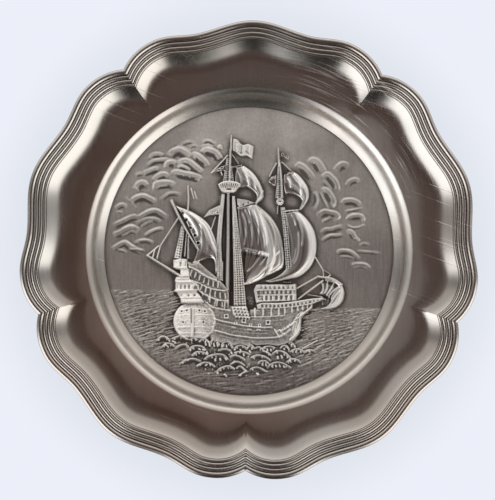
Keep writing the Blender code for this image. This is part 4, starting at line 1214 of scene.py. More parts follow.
def modelHull(clay):
    hull = shipLook["hull"]
    side = [(187, 265), (211, 279), (228, 293), (229, 305), (251, 311.5), (289, 309.5), (321, 298.5),
        (309, 309), (302, 318), (300.5, 329), (296, 337.5), (287, 349), (215, 349), (201, 321), (193, 291)]
    slab(clay, side, 0.68 * hull, 5, shine=0.1, grain=0.5, stain=0.38)
    area, x, y = clay.spread(side, 1)
    depth = inside(side, x, y)
    clay.add(area, ease(depth, 0.5, 6) * 0.45 * (1 - ((y - 324) / 26) ** 2))
    patches = 0.18 * drift(clay.height.shape, 14, 31) + 0.3 * drift(clay.height.shape, 3.5, 32)
    clay.stain[area] += patches[area] * ease(depth, 0, 2)
    bow = [(308, 310.4), (303, 317), (300.6, 322), (300.8, 329), (298.5, 335), (293, 341.5), (289, 341),
        (291.5, 334), (292.5, 326), (295, 318), (300, 312.5)]
    slab(clay, bow, 0.9 * hull, 3, smooth=True, shine=1, grain=0.7, stain=-0.5)
    # painted highlight on the bow
    area, x, y = clay.spread(bow, 1)
    clay.paintSheen(area, 0.6 * ease(inside(bow, x, y), 0, 1.2))
    for path in (
            [(304, 312.6), (299, 319), (296.6, 327), (293, 336)],
            [(301, 313), (296.4, 320), (294.4, 328), (291, 337)]):
        area, line = crease(clay, 0.6, -0.4, 0.15, *path)
        clay.stain[area] += 0.5 * line
    work(clay, rib,
         (1.7, 2.9, 0.8, 1, (311, 307.5), (304, 313.5), (298.4, 317.6), (294, 320.6)),
         (1.5, 3.1, 2.1, 1, (300.2, 318), (299.6, 325), (299.4, 329), (296.6, 334.5), (290.6, 339.6)))
    # galleries between the stern and the waist
    galleries = [(187, 261.5), (192, 263.6), (199, 262), (208, 270), (219, 279), (229, 290), (229.5, 303),
        (229, 309.5), (214, 305.5), (203, 297), (195, 288), (189, 276)]
    slab(clay, galleries, 0.92 * hull, 1.6, shine=0.2, grain=0.3, stain=0.12)
    for spine, half, pitch, phase in (
            ([(190, 272), (199, 277.6), (209, 282.6), (219.5, 286)], 2.9, 5, 0.25),
            ([(199, 286), (208, 291.4), (217, 295), (228, 297)], 2.9, 5.2, 0),
            ([(201, 296), (208, 300), (216, 303.6), (228, 306.6)], 2.9, 7.4, 0.35)):
        posts(clay, spine, half, half, pitch, 1, 0.35, 0.42, phase, -0.25)
    for path in (
            [(187, 266.5), (196, 270), (207, 277), (219, 281.6)],
            [(189, 279.6), (199, 283.6), (209, 288.4), (220, 290.6), (229, 291.4)],
            [(198, 290.6), (208, 296.6), (218, 300.2), (229, 301.6)],
            [(197, 293), (204, 300), (212, 307), (222, 309.5), (231, 311)],
            [(187, 261), (191, 262.8), (200, 262)]):
        rail(clay, 0.75, 0.55, 0.7, 0.02, *path)
    for x, y in ((209.9, 299.4), (217, 303.2), (224.6, 305.6)):
        rib(clay, 1.15, 3.1, 1, 1, (x + 0.3, y - 3.2), (x - 0.2, y + 2.8))
    # wales
    for path in (
            [(213, 318.6), (222, 321.5), (230, 323), (240, 325.3), (250, 326.8), (262, 327.6), (273.5, 327.5)],
            [(214, 330.4), (222, 332.5), (232, 335.3), (244, 337), (256, 338.3), (270, 338), (281, 337)]):
        rail(clay, 0.75, 0.85, 0.75, 0.04, *path)
    for x, y, half in ((226.3, 316.5, 1.4), (243.8, 321, 1.4), (268, 322.6, 1.5)):
        port(clay, x, y, half, 0.7)
    for x, y in ((235.6, 323.3), (250.4, 325.3), (259.5, 325.5)):
        port(clay, x, y, 0.8, 0.5, 0.5)
    for path, rise in (
            ([(214, 323), (230, 327), (250, 330.4), (272, 331)], 0.3),
            ([(232, 331), (250, 333.5), (270, 334)], 0.26),
            ([(216, 334.6), (232, 338.6), (252, 341.4), (276, 341)], 0.32),
            ([(238, 317), (252, 320), (280, 320.6), (296, 315)], 0.28)):
        crease(clay, 0.5, rise, 0.1, *path)
    for x, y in ((233.5, 327.6), (249.4, 329.7), (258.6, 330.2)):
        slab(clay, [(x - 2.3, y - 1.1), (x + 2.3, y - 0.7), (x + 2.3, y + 1.1), (x - 2.3, y + 0.8)], 3.1, 0.6,
            shine=1, grain=0.6, stain=-0.6)
    # waist: a sunk deck between two lines, with white posts
    slab(clay, [(250, 309.6), (262, 309), (280, 308.8), (300, 306.6), (312, 304), (309, 307), (300, 311),
        (284, 314.6), (262, 316), (250, 316.4)], 0.86 * hull, 1.2, shine=0.3, grain=0.4)
    rail(clay, 0.7, 0.45, 0.45, 0.02, (250, 317), (262, 317), (272, 316.7), (285, 315.6))
    for x, y, tall in (
            (255, 312.6, 7.4), (263.2, 312.4, 7.6), (271.3, 312.2, 7.4), (279, 311.4, 7), (284.8, 310.6, 6.2),
            (292, 309.6, 5.4), (297.8, 308.3, 5), (302.6, 307.4, 4.6), (307.4, 305.8, 4.4), (311.6, 304, 4)):
        rib(clay, 1.05, 2.9, 1.05, 1, (x, y - tall / 2), (x, y + tall / 2), grain=0.9)
    # beak rail
    beak = [(256.4, 304.6), (262, 302.4), (280, 302.4), (297.4, 300.6), (312, 298.6), (323.6, 297.4),
        (324.6, 299.6), (312, 304.6), (297.4, 307.4), (280, 309), (257, 309.4)]
    slab(clay, beak, 0.98 * hull, 1.2, shine=0.45, grain=0.5)
    posts(clay, [(259, 306.4), (280, 306.2), (297.4, 304.3), (312, 301.8), (322, 299.4)], 1.8, 1, 4, 0.95, 0.35,
        0.45, 0.2)
    work(clay, rail,
         (0.95, 0.6, 0.9, 0.02, (257.6, 305.2), (262, 303.8), (275, 304), (290, 303.2), (300, 301.5),
          (312, 299.5), (322.6, 298.6)),
         (0.65, 0.5, 0.8, 0.02, (258, 308.8), (280, 308.6), (295, 307), (310, 304.3), (321, 300.4)))
    # forecastle
    castle = [(253.6, 289.6), (256, 284.6), (296.5, 284.4), (297, 301), (262, 302.6), (256, 304)]
    slab(clay, castle, hull, 1.4, shine=0.25, grain=0.4, stain=0.36)
    slab(clay, [(253.6, 290.6), (256, 285), (260.6, 285), (261, 302), (256, 303)], 1.02 * hull, 0.8, shine=0.3,
        grain=0.6)
    for y, half, start, pitch, phase in (
            (287, 2.3, 262, 4.5, 0.2), (292.6, 1.7, 262, 4.5, 0.7), (298.2, 2.4, 262, 5, 0.1)):
        posts(clay, [(start, y + 0.2), (295.4, y - 0.3)], half, half, pitch, 1.25, 0.3, 0.32, phase)
    for y in (284.8, 290.1, 295.2, 301.2):
        rail(clay, 0.6, 0.5, 0.7, 0.02, (257, y + 0.3), (280, y), (296.6, y - 0.3))
    for x in (264.5, 268.4, 272.6, 278.4, 283.4, 288.4, 293):
        rib(clay, 1.15, 3.05, 1.1, 1, (x, 296.4), (x, 300.2), grain=0.9)
    rib(clay, 0.8, 3.1, 0.8, 1, (294.4, 284.6), (294.8, 288.6))
    for i in range(4):
        knob(clay, 284 + i * 2.1, 282.4, 1, 2.4)
    clay.finish(*clay.around(287.2, 282.4, 4.4), 0.9)
    press(clay, [(256.6, 291), (260, 291), (260.6, 297), (258, 299)], 0.8, 1.2)
    # deadeyes at the foot of the great ladder
    slab(clay, [(231, 306.6), (246.5, 306), (251, 319.5), (236, 318), (232.5, 315)], 1.08 * hull, 1, shine=0.7,
        grain=0.8)
    for row in range(4):
        for column in range(5):
            x = 233 + row + column * 3.3
            y = 308 + row * 3.1 + column * 0.25
            knob(clay, x, y, 1.25, 3.5)
            dot(clay, x + 1.6, y + 0.9, 0.75, 1.1)
    # bow ornaments
    for path in (
            [(274.4, 329.4), (276, 332.4), (278.4, 336.2)], [(279.4, 330), (281.6, 332.6), (284.4, 334.8)]):
        rib(clay, 0.95, 2.8, 0.8, 1, *path)
    for x, y in ((275.6, 326.4), (278, 325.4)):
        knob(clay, x, y, 0.9, 2.5)
    for i in range(11):
        t = i / 10
        knob(clay, 282 + 13 * t, 331.4 - 9.4 * t + 0.9 * (i % 2), 1.1, 2.7)
    for i in range(8):
        t = i / 7
        knob(clay, 280.6 + 10.4 * t, 325 - 4 * t, 0.9, 2.4)
    rib(clay, 0.9, 2.7, 0.6, 0.9, (291.5, 325), (294, 322.4), (297.6, 320.4))
    # creases over the ornaments, with painted highlights that sparkle at random
    paintedSparkle = 0.8 + 0.45 * drift(clay.height.shape, 2.6, 33)
    for path in (
            [(275.2, 332), (282, 330.2), (289, 326), (296.6, 320.6)], [(280, 336.6), (286, 333), (291, 328.6)],
            [(274.6, 329.6), (277.4, 334), (280.4, 337)]):
        area, line = crease(clay, 1.1, 0.35, 0.08, *path)
        clay.paintSheen(area, line * paintedSparkle[area])


def modelStern(clay):
    hull = shipLook["hull"]
    middleX, middleY, radius, tall = 194.6, 321.6, 21.4, 20.4
    turns = [2 * math.pi * side / 40 for side in range(40)]
    disc = [(middleX + radius * math.cos(a), middleY + tall * math.sin(a)) for a in turns]
    area, x, y = clay.spread(disc, 2)
    out = np.hypot((x - middleX) / radius, (y - middleY) / tall)
    depth = (1 - out) * radius
    bowl = 1.45 + 2 * (1 - out ** 2)
    clay.lift(area, np.where(depth > 0, bowl * shelf(depth / 1.6), 3 * depth))
    clay.finish(area, ease(depth, -0.2, 0.4), 0.7, 1)
    rim = [(middleX + 0.94 * (px - middleX), middleY + 0.94 * (py - middleY)) for px, py in disc]
    crease(clay, 0.95, 0.32, 0, *rim + rim[:1])
    for y in (309.5, 315.2, 327.5, 333.5):
        half = 0.9 * radius * math.sqrt(1 - ((y - middleY) / tall) ** 2)
        crease(clay, 0.6, 0.26, 0.05, (middleX - half, y + 0.3), (middleX, y - 0.3), (middleX + half, y + 0.3))
    for x, y, half in (
            (181.6, 311.6, 1), (186.8, 310.8, 1), (199.4, 310.8, 1), (204.8, 311.6, 1), (183, 322.4, 1),
            (203.4, 322.4, 1)):
        port(clay, x, y, half, 0.3, 0.8)
    press(clay, [(190.2, 308.4), (192.2, 308.4), (192.2, 324), (190.2, 324)], 0.6, 0.8)
    rib(clay, 1.3, 4, 2.5, 1, (193.2, 309), (193, 324), (191.6, 341), grain=0.7)
    # castle over the transom, from the moulding up to the lantern
    tower = [(181, 303.8), (180, 299), (176.6, 292.6), (173.6, 291.6), (175.4, 289), (175.4, 283), (174.6, 281),
        (176, 276.6), (180, 276.4), (180, 270.4), (175.6, 269), (173.3, 267.6), (173.3, 260.6), (180, 258.6),
        (187.4, 259.6), (187.6, 267), (189.4, 270), (190.4, 279), (194, 281.6), (199, 285), (199.6, 290.4),
        (197, 291.4), (202, 298.6), (204.4, 302.4), (202, 304)]
    slab(clay, tower, 1.12 * hull, 1.5, shine=1, grain=1, stain=-0.35)
    # every storey leans a little, so that its face takes the light
    for top, low, lean in (
            (258.5, 268.4, 0.25), (268.4, 276.6, 0.35), (276.6, 283.6, 0.35), (283.6, 290.4, 0.2),
            (292.4, 299.4, 0.45)):
        area, x, y = clay.spread([(173, top), (204, low)], 0.5)
        run = np.clip((y - top) / (low - top), 0, 1)
        clay.add(area, np.where(clay.height[area] > 2.2, lean * (run - 0.5) * (y > top) * (y < low), 0))
    for path, width, rise in (
            ([(173, 260.2), (180, 259.2), (188, 260)], 0.9, 0.5), ([(175, 268.8), (187.4, 268.6)], 0.8, 0.55),
            ([(180.6, 276.4), (190, 276.2)], 0.6, 0.35), ([(174, 278.2), (180, 279.2), (190, 278.8)], 0.7, 0.4),
            ([(175, 282.2), (186, 282.2), (193, 282.2)], 1, 0.55),
            ([(174, 291.6), (186, 290.8), (197, 290.4)], 1, 0.7), ([(180, 299.2), (202, 298.6)], 0.6, -0.5),
            ([(181, 302), (204, 301.6)], 1.4, 0.6)):
        rail(clay, width, rise, 1, 0.02, *path)
    for x, half in ((174.8, 0.5), (180.6, 1.2), (185.8, 0.6)):
        press(clay, [(x - half, 262), (x + half, 262), (x + half, 267), (x - half, 267)], 1, 0.6)
    for x, half in ((177.4, 0.8), (181, 1.1), (185, 1.1), (189, 1.1)):
        press(clay, [(x - half, 289.4), (x - half, 286), (x, 284.6), (x + half, 286), (x + half, 289.4)], 0.9,
            0.7)
    press(clay, [(193.6, 290), (193.6, 287), (195.6, 285.4), (197.6, 287), (197.6, 290)], 1.1, 0.8)
    rail(clay, 0.6, 0.4, 1, 0.02, (192.2, 290), (192.4, 286.6), (195.4, 284), (198.6, 286.4), (199.2, 290))
    for x, y in ((181.3, 296.3), (188.5, 296), (194.4, 295.6)):
        dot(clay, x, y, 1.3, 1.1)
    work(clay, crease,
         (0.8, -0.9, 0.1, (198, 291.6), (201.4, 296.6), (204.6, 300.6)),
         (0.7, -0.8, 0.05, (170, 269.2), (175, 272), (180.4, 276)))
    rib(clay, 1.05, 3.4, 1.5, 1, (147, 255.6), (165, 266.8), (182, 277.4))


def modelGalleon():
    clay = Clay(*shipLook["window"], shipLook["clayCell"], shipLook["sunk"])
    modelSails(clay)
    clay.height = soften(clay.height, 1.5)
    modelHull(clay)
    modelSpars(clay)
    modelStern(clay)
    clay.height = np.maximum(clay.height, shipLook["sunk"])
    clay.height = soften(clay.height, 0.55)
    # the scoured metal is a little rough
    shape = clay.height.shape
    rough = drift(shape, 3.0, 21) * 0.08 + drift(shape, 6.0, 22) * 0.10
    clay.height += rough * np.where(clay.grain > 0.14, np.maximum(clay.grain, 0.8), clay.grain)
    clay.height += 0.08 * drift(shape, 2.0, 23) * ease(clay.grain, 0.4, 0.9)
    return clay


skyClay = modelSky()
print("clouds modelled")
seaClay = modelSea()
modelWaves(seaClay)
print("sea modelled")
shipClay = modelGalleon()
print("galleon modelled")


# The waves wash over the foot of the hull
def washHull():
    x, y = shipClay.grid()
    sea = seaClay.sample(seaClay.height, x, y)
    past = y - waterline(x)
    washed = np.minimum(shipClay.height, sea - 0.10 - 0.8 * past)
    low = ease(past, -0.5, 0.3)
    shipClay.height = np.where(past > -0.5, shipClay.height * (1 - low) + washed * low, shipClay.height)


washHull()


# All heights together, to find what lies deep and what stands proud
def wholeRelief():
    whole = Clay(*sheet["window"], sheet["clayCell"])
    x, y = whole.grid()
    inSea = ease(y - horizon(x), -0.2, 0.2)
    ground = 0.2 * skyClay.sample(skyClay.height, x, y) * (1 - inSea)
    ground += seaClay.sample(seaClay.height, x, y) * inSea
    ship = np.where(shipClay.holds(x, y), shipClay.sample(shipClay.height, x, y), -1.0)
    whole.height = np.maximum(ground, ship)
    # where the ship's painted shadow falls on the ground beside it
    whole.beside = soften(np.clip(ship, 0, 1), 14.0)
    # wide hollows near tall relief are darker and proud places lighter: patina and painted shade
    whole.deep = np.clip(0.45 * (soften(whole.height, 9.0) - whole.height), -0.3, 0.6)
    return whole


def cavity(clay, shade, low=None):
    # how deep each place lies among its near neighbours, for patina in the hollows, with the wide painted shade
    # and the clay's painted shade and stains added
    x, y = clay.grid()
    fine, wide = (soften(clay.height, reach / clay.cell) - clay.height for reach in (0.9, 2.4))
    near = 1.8 * fine + 0.6 * wide
    if low is not None:
        near *= ease(clay.height, low, low + 0.7)
    near = np.where(near > 0, shade * near, near)
    return np.clip(near + whole.sample(whole.deep, x, y) + clay.stain, -1, 1.3)


whole = wholeRelief()
print("relief put together")


def sheetToPlate(x, y, height):
    # from the sheet to the frame, in metres
    out = groundHeight + height * millimetre
    return (x - sheet["middleX"]) * stepSize, -out, (sheet["middleY"] - y) * stepSize


def corners(grid):
    # the four corners of every cell of a grid
    return grid[:-1, :-1], grid[1:, :-1], grid[:-1, 1:], grid[1:, 1:]


def middleRange(x, y):
    return np.hypot(x - sheet["middleX"], y - sheet["middleY"])


def reliefMesh(name, points, quads):
    mesh = bpy.data.meshes.new(name)
    mesh.vertices.add(len(points))
    mesh.vertices.foreach_set("co", points.astype(np.float32).ravel())
    mesh.loops.add(quads.size)
    mesh.loops.foreach_set("vertex_index", quads.astype(np.int32).ravel())
    mesh.polygons.add(len(quads))
    mesh.polygons.foreach_set("loop_start", np.arange(0, quads.size, 4, dtype=np.int32))
    mesh.update(calc_edges=True)
    mesh.validate()
    mesh.shade_smooth()
    mesh.set_sharp_from_angle(angle=math.radians(casting["sharpAngle"]))
    return mesh


# Casting: how near the edge, in cells, points are drawn onto it; the width over which the relief
# runs out there; how far the skirt's foot stays above the floor, in metres; and the sharp angle
casting = {"drawn": 1.6, "runOut": 4, "skirtGap": 0.0003, "sharpAngle": 75}


def castRelief(name, clay, cell, wanted, deep, sink=None):
    # a mesh over the wanted cells of the clay, cut round at the medallion's edge
    columns = int(round(clay.cell * (clay.columns - 1) / cell)) + 1
    rows = int(round(clay.cell * (clay.rows - 1) / cell)) + 1
    x, y = np.meshgrid(clay.left + cell * np.arange(columns), clay.top + cell * np.arange(rows))
    radius = sheet["radius"]
    away = middleRange(x, y)
    height = clay.sample(clay.height, x, y) - (0.0 if sink is None else sink(y))
    inRound = np.logical_and.reduce(corners(away <= radius + 0.5 * cell))
    keep = inRound & wanted(x[:-1, :-1] + cell / 2, y[:-1, :-1] + cell / 2, height)
    used, filled = np.zeros(x.shape, bool), np.zeros(x.shape, int)
    for part in corners(used):
        part |= keep
    for part in corners(filled):
        part += inRound
    # points near the edge are drawn onto it, and the relief runs out there
    border = used & (filled < 4) & (away > radius - casting["drawn"] * cell)
    pull = np.where(border, radius / np.maximum(away, 1e-6), 1.0)
    x = sheet["middleX"] + (x - sheet["middleX"]) * pull
    y = sheet["middleY"] + (y - sheet["middleY"]) * pull
    height = height * np.clip((radius - middleRange(x, y)) / casting["runOut"], 0, 1)
    index = np.full(used.shape, -1)
    index[used] = np.arange(used.sum())
    points = np.stack(sheetToPlate(x[used], y[used], height[used]), 1)
    r, c = np.nonzero(keep)
    quads = np.stack((index[r, c], index[r + 1, c], index[r + 1, c + 1], index[r, c + 1]), 1)
    # a skirt lets the medallion's edge stand on the floor of the well
    edges = np.concatenate([quads[:, [k, (k + 1) % 4]] for k in range(4)])
    way, back = (edges[:, k] * len(points) + edges[:, 1 - k] for k in (0, 1))
    free = edges[~np.isin(way, back)]
    onBorder = border[used]
    free = free[onBorder[free[:, 0]] & onBorder[free[:, 1]]]
    rim = np.unique(free)
    lowered = np.full(len(points), -1)
    lowered[rim] = len(points) + np.arange(len(rim))
    foot = points[rim].copy()
    foot[:, 1] = -(plate["floorThickness"] - casting["skirtGap"])
    points = np.concatenate((points, foot))
    skirt = np.stack((free[:, 1], free[:, 0], lowered[free[:, 0]], lowered[free[:, 1]]), 1)
    quads = np.concatenate((quads, skirt))
    mesh = reliefMesh(name, points, quads)
    x = sheet["middleX"] + points[:, 0] / stepSize
    y = sheet["middleY"] - points[:, 2] / stepSize
    for label, field in (("hollow", deep), ("shine", clay.shine), ("grain", clay.grain), ("satin", clay.satin)):
        layer = mesh.attributes.new(label, "FLOAT", "POINT")
        layer.data.foreach_set("value", clay.sample(field, x, y).astype(np.float32))
    print(name, "cast,", 2 * len(quads), "triangles")
    return showMesh(name, mesh)


def shipCovers(mx, my, margin):
    # places well under the galleon, where the ground is never seen
    return shipClay.holds(mx, my, 2.0) & (shipClay.sample(hiddenGround, mx, my) > margin)


def shrink(field, cells):
    # smallest height within some cells of each place
    small = field.copy()
    for _ in range(cells):
        for axis in (0, 1):
            small = np.minimum(small, np.minimum(np.roll(small, 1, axis), np.roll(small, -1, axis)))
    return small


hiddenGround = shrink(shipClay.height, 6)


def skyCells(mx, my, height):
    return (my < horizon(mx) + 1.4) & ~shipCovers(mx, my, 0.3)


def seaCells(mx, my, height):
    return (my > horizon(mx) - 0.2) & ~shipCovers(mx, my, 0.9)


def shipCells(mx, my, height):
    return np.maximum.reduce(corners(height)) > shipLook["shown"]


# the rig and the hull overlap by two steps, each one's border sunk under the other
def rigCells(mx, my, height):
    return shipCells(mx, my, height) & (my < shipLook["split"] + 1)


def hullCells(mx, my, height):
    return shipCells(mx, my, height) & (my > shipLook["split"] - 1)


def rigSink(y):
    return shipLook["tuck"] * ease(y - shipLook["split"], -0.2, 1.2)


def hullSink(y):
    return shipLook["tuck"] * ease(shipLook["split"] - y, -0.2, 1.2)


def seaEdge():
    # the sea ends in a small step down to the sky along the horizon
    x, y = seaClay.grid()
    past = y - horizon(x)
    share = ease(past, 0.6, 2.8)
    seaClay.height = seaClay.height * share + (0.05 * past - 0.02) * (1 - share)


seaEdge()
# painted shadow of the galleon on the sky beside it
skyClay.stain += 0.50 * whole.sample(whole.beside, *skyClay.grid())
sky = castRelief("sky", skyClay, skyLook["cell"], skyCells, cavity(skyClay, 0.25))
sea = castRelief("sea", seaClay, seaLook["cell"], seaCells, cavity(seaClay, 0.6))
shipDeep = cavity(shipClay, 1.0, -0.1)
rig = castRelief("rig", shipClay, shipLook["cell"], rigCells, shipDeep, rigSink)
hull = castRelief("hull", shipClay, shipLook["cell"], hullCells, shipDeep, hullSink)
for piece in (plateBody, sky, sea, rig, hull):
    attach(piece, "root")
    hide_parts("plate")


# Finishes
class Plug:
    # a socket in a formula
    def __init__(self, graph, socket):
        self.graph, self.socket = graph, socket

    def math(self, operation, first, second):
        return self.graph.node("ShaderNodeMath", {"operation": operation}, {0: first, 1: second})

    def __add__(self, other):
        return self.math("ADD", self, other)

    def __sub__(self, other):
        return self.math("SUBTRACT", self, other)

    def __rsub__(self, other):
        return self.math("SUBTRACT", other, self)

    def __mul__(self, other):
        return self.math("MULTIPLY", self, other)

    def __truediv__(self, other):
        return self.math("DIVIDE", self, other)

    def __rtruediv__(self, other):
        return self.math("DIVIDE", other, self)

    __radd__, __rmul__ = __add__, __mul__


class Graph:
    # the nodes of one material or world
    def __init__(self, tree):
        self.tree = tree
        tree.nodes.clear()

    def node(self, kind, settings=None, values=None, out=0):
        made = self.tree.nodes.new(kind)
        for name, value in (settings or {}).items():
            if name == "stops":
                ramp = made.color_ramp
                while len(ramp.elements) < len(value):
                    ramp.elements.new(0.5)
                for element, (place, colour) in zip(ramp.elements, value):
                    element.position = place
                    element.color = (*colour, 1.0)
            else:
                setattr(made, name, value)
        for name, value in (values or {}).items():
            socket = made.inputs[name]
            if isinstance(value, Plug):
                self.tree.links.new(value.socket, socket)
            elif isinstance(value, tuple) and len(value) == 3 and socket.type == "RGBA":
                socket.default_value = (*value, 1.0)
            else:
                socket.default_value = value
        return Plug(self, made.outputs[out]) if len(made.outputs) else None

    def attribute(self, name):
        return self.node("ShaderNodeAttribute", {"attribute_name": name}, None, 2)

    def between(self, value, low, high):
        # 0 to 1 as the value goes from low to high, eased
        settings = {"interpolation_type": "SMOOTHSTEP"}
        return self.node("ShaderNodeMapRange", settings, {0: value, 1: low, 2: high})

    def mixColour(self, factor, first, second, blend="MIX"):
        settings = {"data_type": "RGBA", "blend_type": blend}
        return self.node("ShaderNodeMix", settings, {0: factor, 6: first, 7: second}, 2)

    def stretch(self, vector, scale, turn=(0.0, 0.0, 0.0)):
        return self.node("ShaderNodeMapping", None, {"Vector": vector, "Scale": scale, "Rotation": turn})

    def noise(self, vector, scale, detail=3.0, roughness=0.55):
        values = {"Vector": vector, "Scale": scale, "Detail": detail, "Roughness": roughness}
        return self.node("ShaderNodeTexNoise", None, values)

    def part(self, vector, axis):
        return self.node("ShaderNodeSeparateXYZ", None, {0: vector}, axis)

    def angle(self, up, across):
        return self.node("ShaderNodeMath", {"operation": "ARCTAN2"}, {0: up, 1: across})

    def axisRange(self, place):
        # distance from the plate's axis
        flat = self.stretch(place, (1.0, 0.0, 1.0))
        return self.node("ShaderNodeVectorMath", {"operation": "LENGTH"}, {0: flat}, 1)


def scratches(graph, place, look):
    # long faint scratches, most of them slanting down to the right
    slanted = graph.stretch(place, (1.0, 1.0, 1.0), (0.0, math.radians(look["scratchTilt"]), 0.0))
    lines = graph.noise(graph.stretch(slanted, look["scratchStretch"]), 1.0, 0.0)
    areas = graph.noise(place, look["scratchAreas"], 1.0)
    return graph.between(lines, 0.70, 0.78) * graph.between(areas, 0.45, 0.62)


def clothArcs(graph, x, z, away):
    # a sheaf of arcs at the upper right, left by a cloth going round
    turn = graph.angle(z, x)
    course = graph.node("ShaderNodeCombineXYZ", None, {0: away * 1300.0 + turn * 2.5, 1: turn * 3.0})
    upperRight = graph.between(x, 0.005, 0.045) * graph.between(z, 0.02, 0.055)
    return graph.between(graph.noise(course, 1.0, 1.0), 0.56, 0.74) * upperRight


def pewter(name, look):
    material = bpy.data.materials.new(name)
    material.use_nodes = True
    graph = Graph(material.node_tree)
    place = graph.node("ShaderNodeTexCoord", None, None, 3)
    x, z, away = graph.part(place, 0), graph.part(place, 2), graph.axisRange(place)
    hollow = graph.attribute("hollow")
    proud = hollow * -1.0
    mottle = graph.noise(place, look["mottleScale"], 4.0)
    uneven = mottle - 0.5
    grain = graph.noise(place, look["grainScale"], 5.0, 0.65)
    brush = graph.noise(graph.stretch(place, look["brushStretch"]), 1.0, 2.0)
    grains = graph.noise(place, look["speckScale"], 2.0, 0.6) - 0.5
    speck = grains * 0.2
    if look["worn"]:
        grit = graph.attribute("grain")
        speck = grains * (look["specks"] + grit * look["gritSpecks"])
    dark = graph.between(hollow + uneven * 0.35 + speck, look["patinaFrom"], look["patinaTo"])
    streaked = mottle * (1 - look["streaks"]) + graph.between(brush, 0.32, 0.68) * look["streaks"]
    tone = graph.mixColour(streaked, look["brightLow"], look["brightHigh"])
    warm = graph.between(graph.noise(place, look["warmScale"], 2.0), *look["warmRange"])
    tone = graph.mixColour(warm * look["warmShare"], tone, look["warm"])
    if look["topPaintedLight"]:
        # painted light: the ground is painted lighter towards the top of the medallion, as a painted highlight
        # from above, and darker near its edge
        high = graph.between(z + uneven * 0.02, *look["topPaintedLightRange"])
        cloudy = graph.noise(place, look["cloudScale"], 3.0, 0.55) - 0.5
        tone = graph.mixColour(high * look["topPaintedLight"] * (1 + cloudy * 4.5), tone, look["polished"])
        border = graph.between(away, *look["borderRange"])
        tone = graph.mixColour(border * (0.6 - high * 0.45), tone, look["patina"])
    if look["worn"]:
        tone = graph.mixColour(graph.between(grains, -0.22, 0.22) * look["specks"], tone, look["patina"])
    tone = graph.mixColour(dark, tone, look["patina"])
    if look["worn"]:
        # the relief: scoured grit, polished high points, and painted sheen, a painted highlight on crests and
        # sails
        tone = graph.mixColour(grit * 0.8, tone, look["scoured"])
        crest = graph.between(proud, 0.05, 0.5) * look["proudShare"]
        lift = graph.between(graph.attribute("shine") + crest, 0.0, 1.3)
        tone = graph.mixColour(lift * (1 - dark) * (0.7 + grit * 0.3), tone, look["polished"])
        rough = look["roughness"] + dark * 0.12 + (brush - 0.5) * look["brushRough"]
        rough = rough - lift * (1 - grit) * 0.12 + grit * 0.25
        if look["topPaintedLight"]:
            rough = rough + high * look["dullAbove"]
        # painted highlights, laid as a lighter, duller finish
        satin = graph.attribute("satin") * (1 - dark * 0.7)
        tone = graph.mixColour(satin * 0.85, tone, look["satin"])
        rough = rough + satin * 0.06
        metal = 1 - look["dull"] - (grit + satin * (1 - grit)) * (0.85 - look["dull"])
        coarse = graph.noise(place, look["gritScale"], 3.0, 0.6) * grit * look["gritHeight"]
        fine = grain * look["grainHeight"] + brush * look["brushHeight"] + coarse
    else:
        # the rim, the band and the well: bright metal with its scratches
        scratch, arcs = scratches(graph, place, look), clothArcs(graph, x, z, away)
        tone = graph.mixColour(graph.between(proud, 0.0, 1.0), tone, look["polished"])
        rough = look["roughness"] + dark * 0.22 + graph.between(proud, 0.1, 0.4) * 0.14
        rough = rough + (brush - 0.5) * look["brushRough"] + uneven * 0.12 + scratch * 0.06 + arcs * 0.14
        tone = graph.mixColour(scratch * 0.10, tone, look["scratched"])
        tone = graph.mixColour(arcs * 0.55, tone, look["wiped"])
        # painted light and shade: the band is painted browner and darker at the lower left and lighter at the
        # upper right
        paintedLightSide = graph.between(x + z * 0.6 + uneven * 0.06, -0.08, 0.03)
        band = graph.between(away, *look["bandInner"]) * (1 - graph.between(away, *look["bandOuter"]))
        tint = graph.mixColour(paintedLightSide, look["brownPaintedShadeTint"], look["paintedLightTint"])
        tone = graph.mixColour(band, tone, tint, "MULTIPLY")
        fine = grain * look["grainHeight"] + brush * look["brushHeight"] - scratch * look["scratchHeight"]
        metal = 1 - arcs * 0.16 - scratch * 0.03
    bump = graph.node("ShaderNodeBump", None, {"Strength": 1.0, "Distance": 0.001, "Height": fine})
    values = {"Base Color": tone, "Metallic": metal, "Roughness": rough, "Normal": bump}
    surface = graph.node("ShaderNodeBsdfPrincipled", None, values)
    graph.node("ShaderNodeOutputMaterial", None, {"Surface": surface})
    return material


bodyLook = {
    "worn": False, "topPaintedLight": 0.0, "roughness": 0.235, "streaks": 0.2,
    "brightLow": (0.60, 0.58, 0.555), "brightHigh": (0.69, 0.67, 0.645), "polished": (0.88, 0.85, 0.81),
    "warm": (0.61, 0.52, 0.47), "warmShare": 0.6, "warmScale": 9.0, "warmRange": (0.42, 0.66),
    "patina": (0.13, 0.115, 0.10), "patinaFrom": 0.30, "patinaTo": 0.95,
    "mottleScale": 28.0, "speckScale": 750.0, "grainScale": 1500.0, "grainHeight": 0.0025,
    "brushStretch": (900.0, 900.0, 45.0), "brushHeight": 0.004, "brushRough": 0.10,
    "scratchTilt": -21.0, "scratchStretch": (16.0, 16.0, 1500.0), "scratchHeight": 0.02, "scratchAreas": 15.0,
    "scratched": (0.78, 0.76, 0.73), "wiped": (0.95, 0.94, 0.92),
    "bandInner": (0.083, 0.0865), "bandOuter": (0.093, 0.103),
    "brownPaintedShadeTint": (0.84, 0.73, 0.68), "paintedLightTint": (1.08, 1.10, 1.11),
}
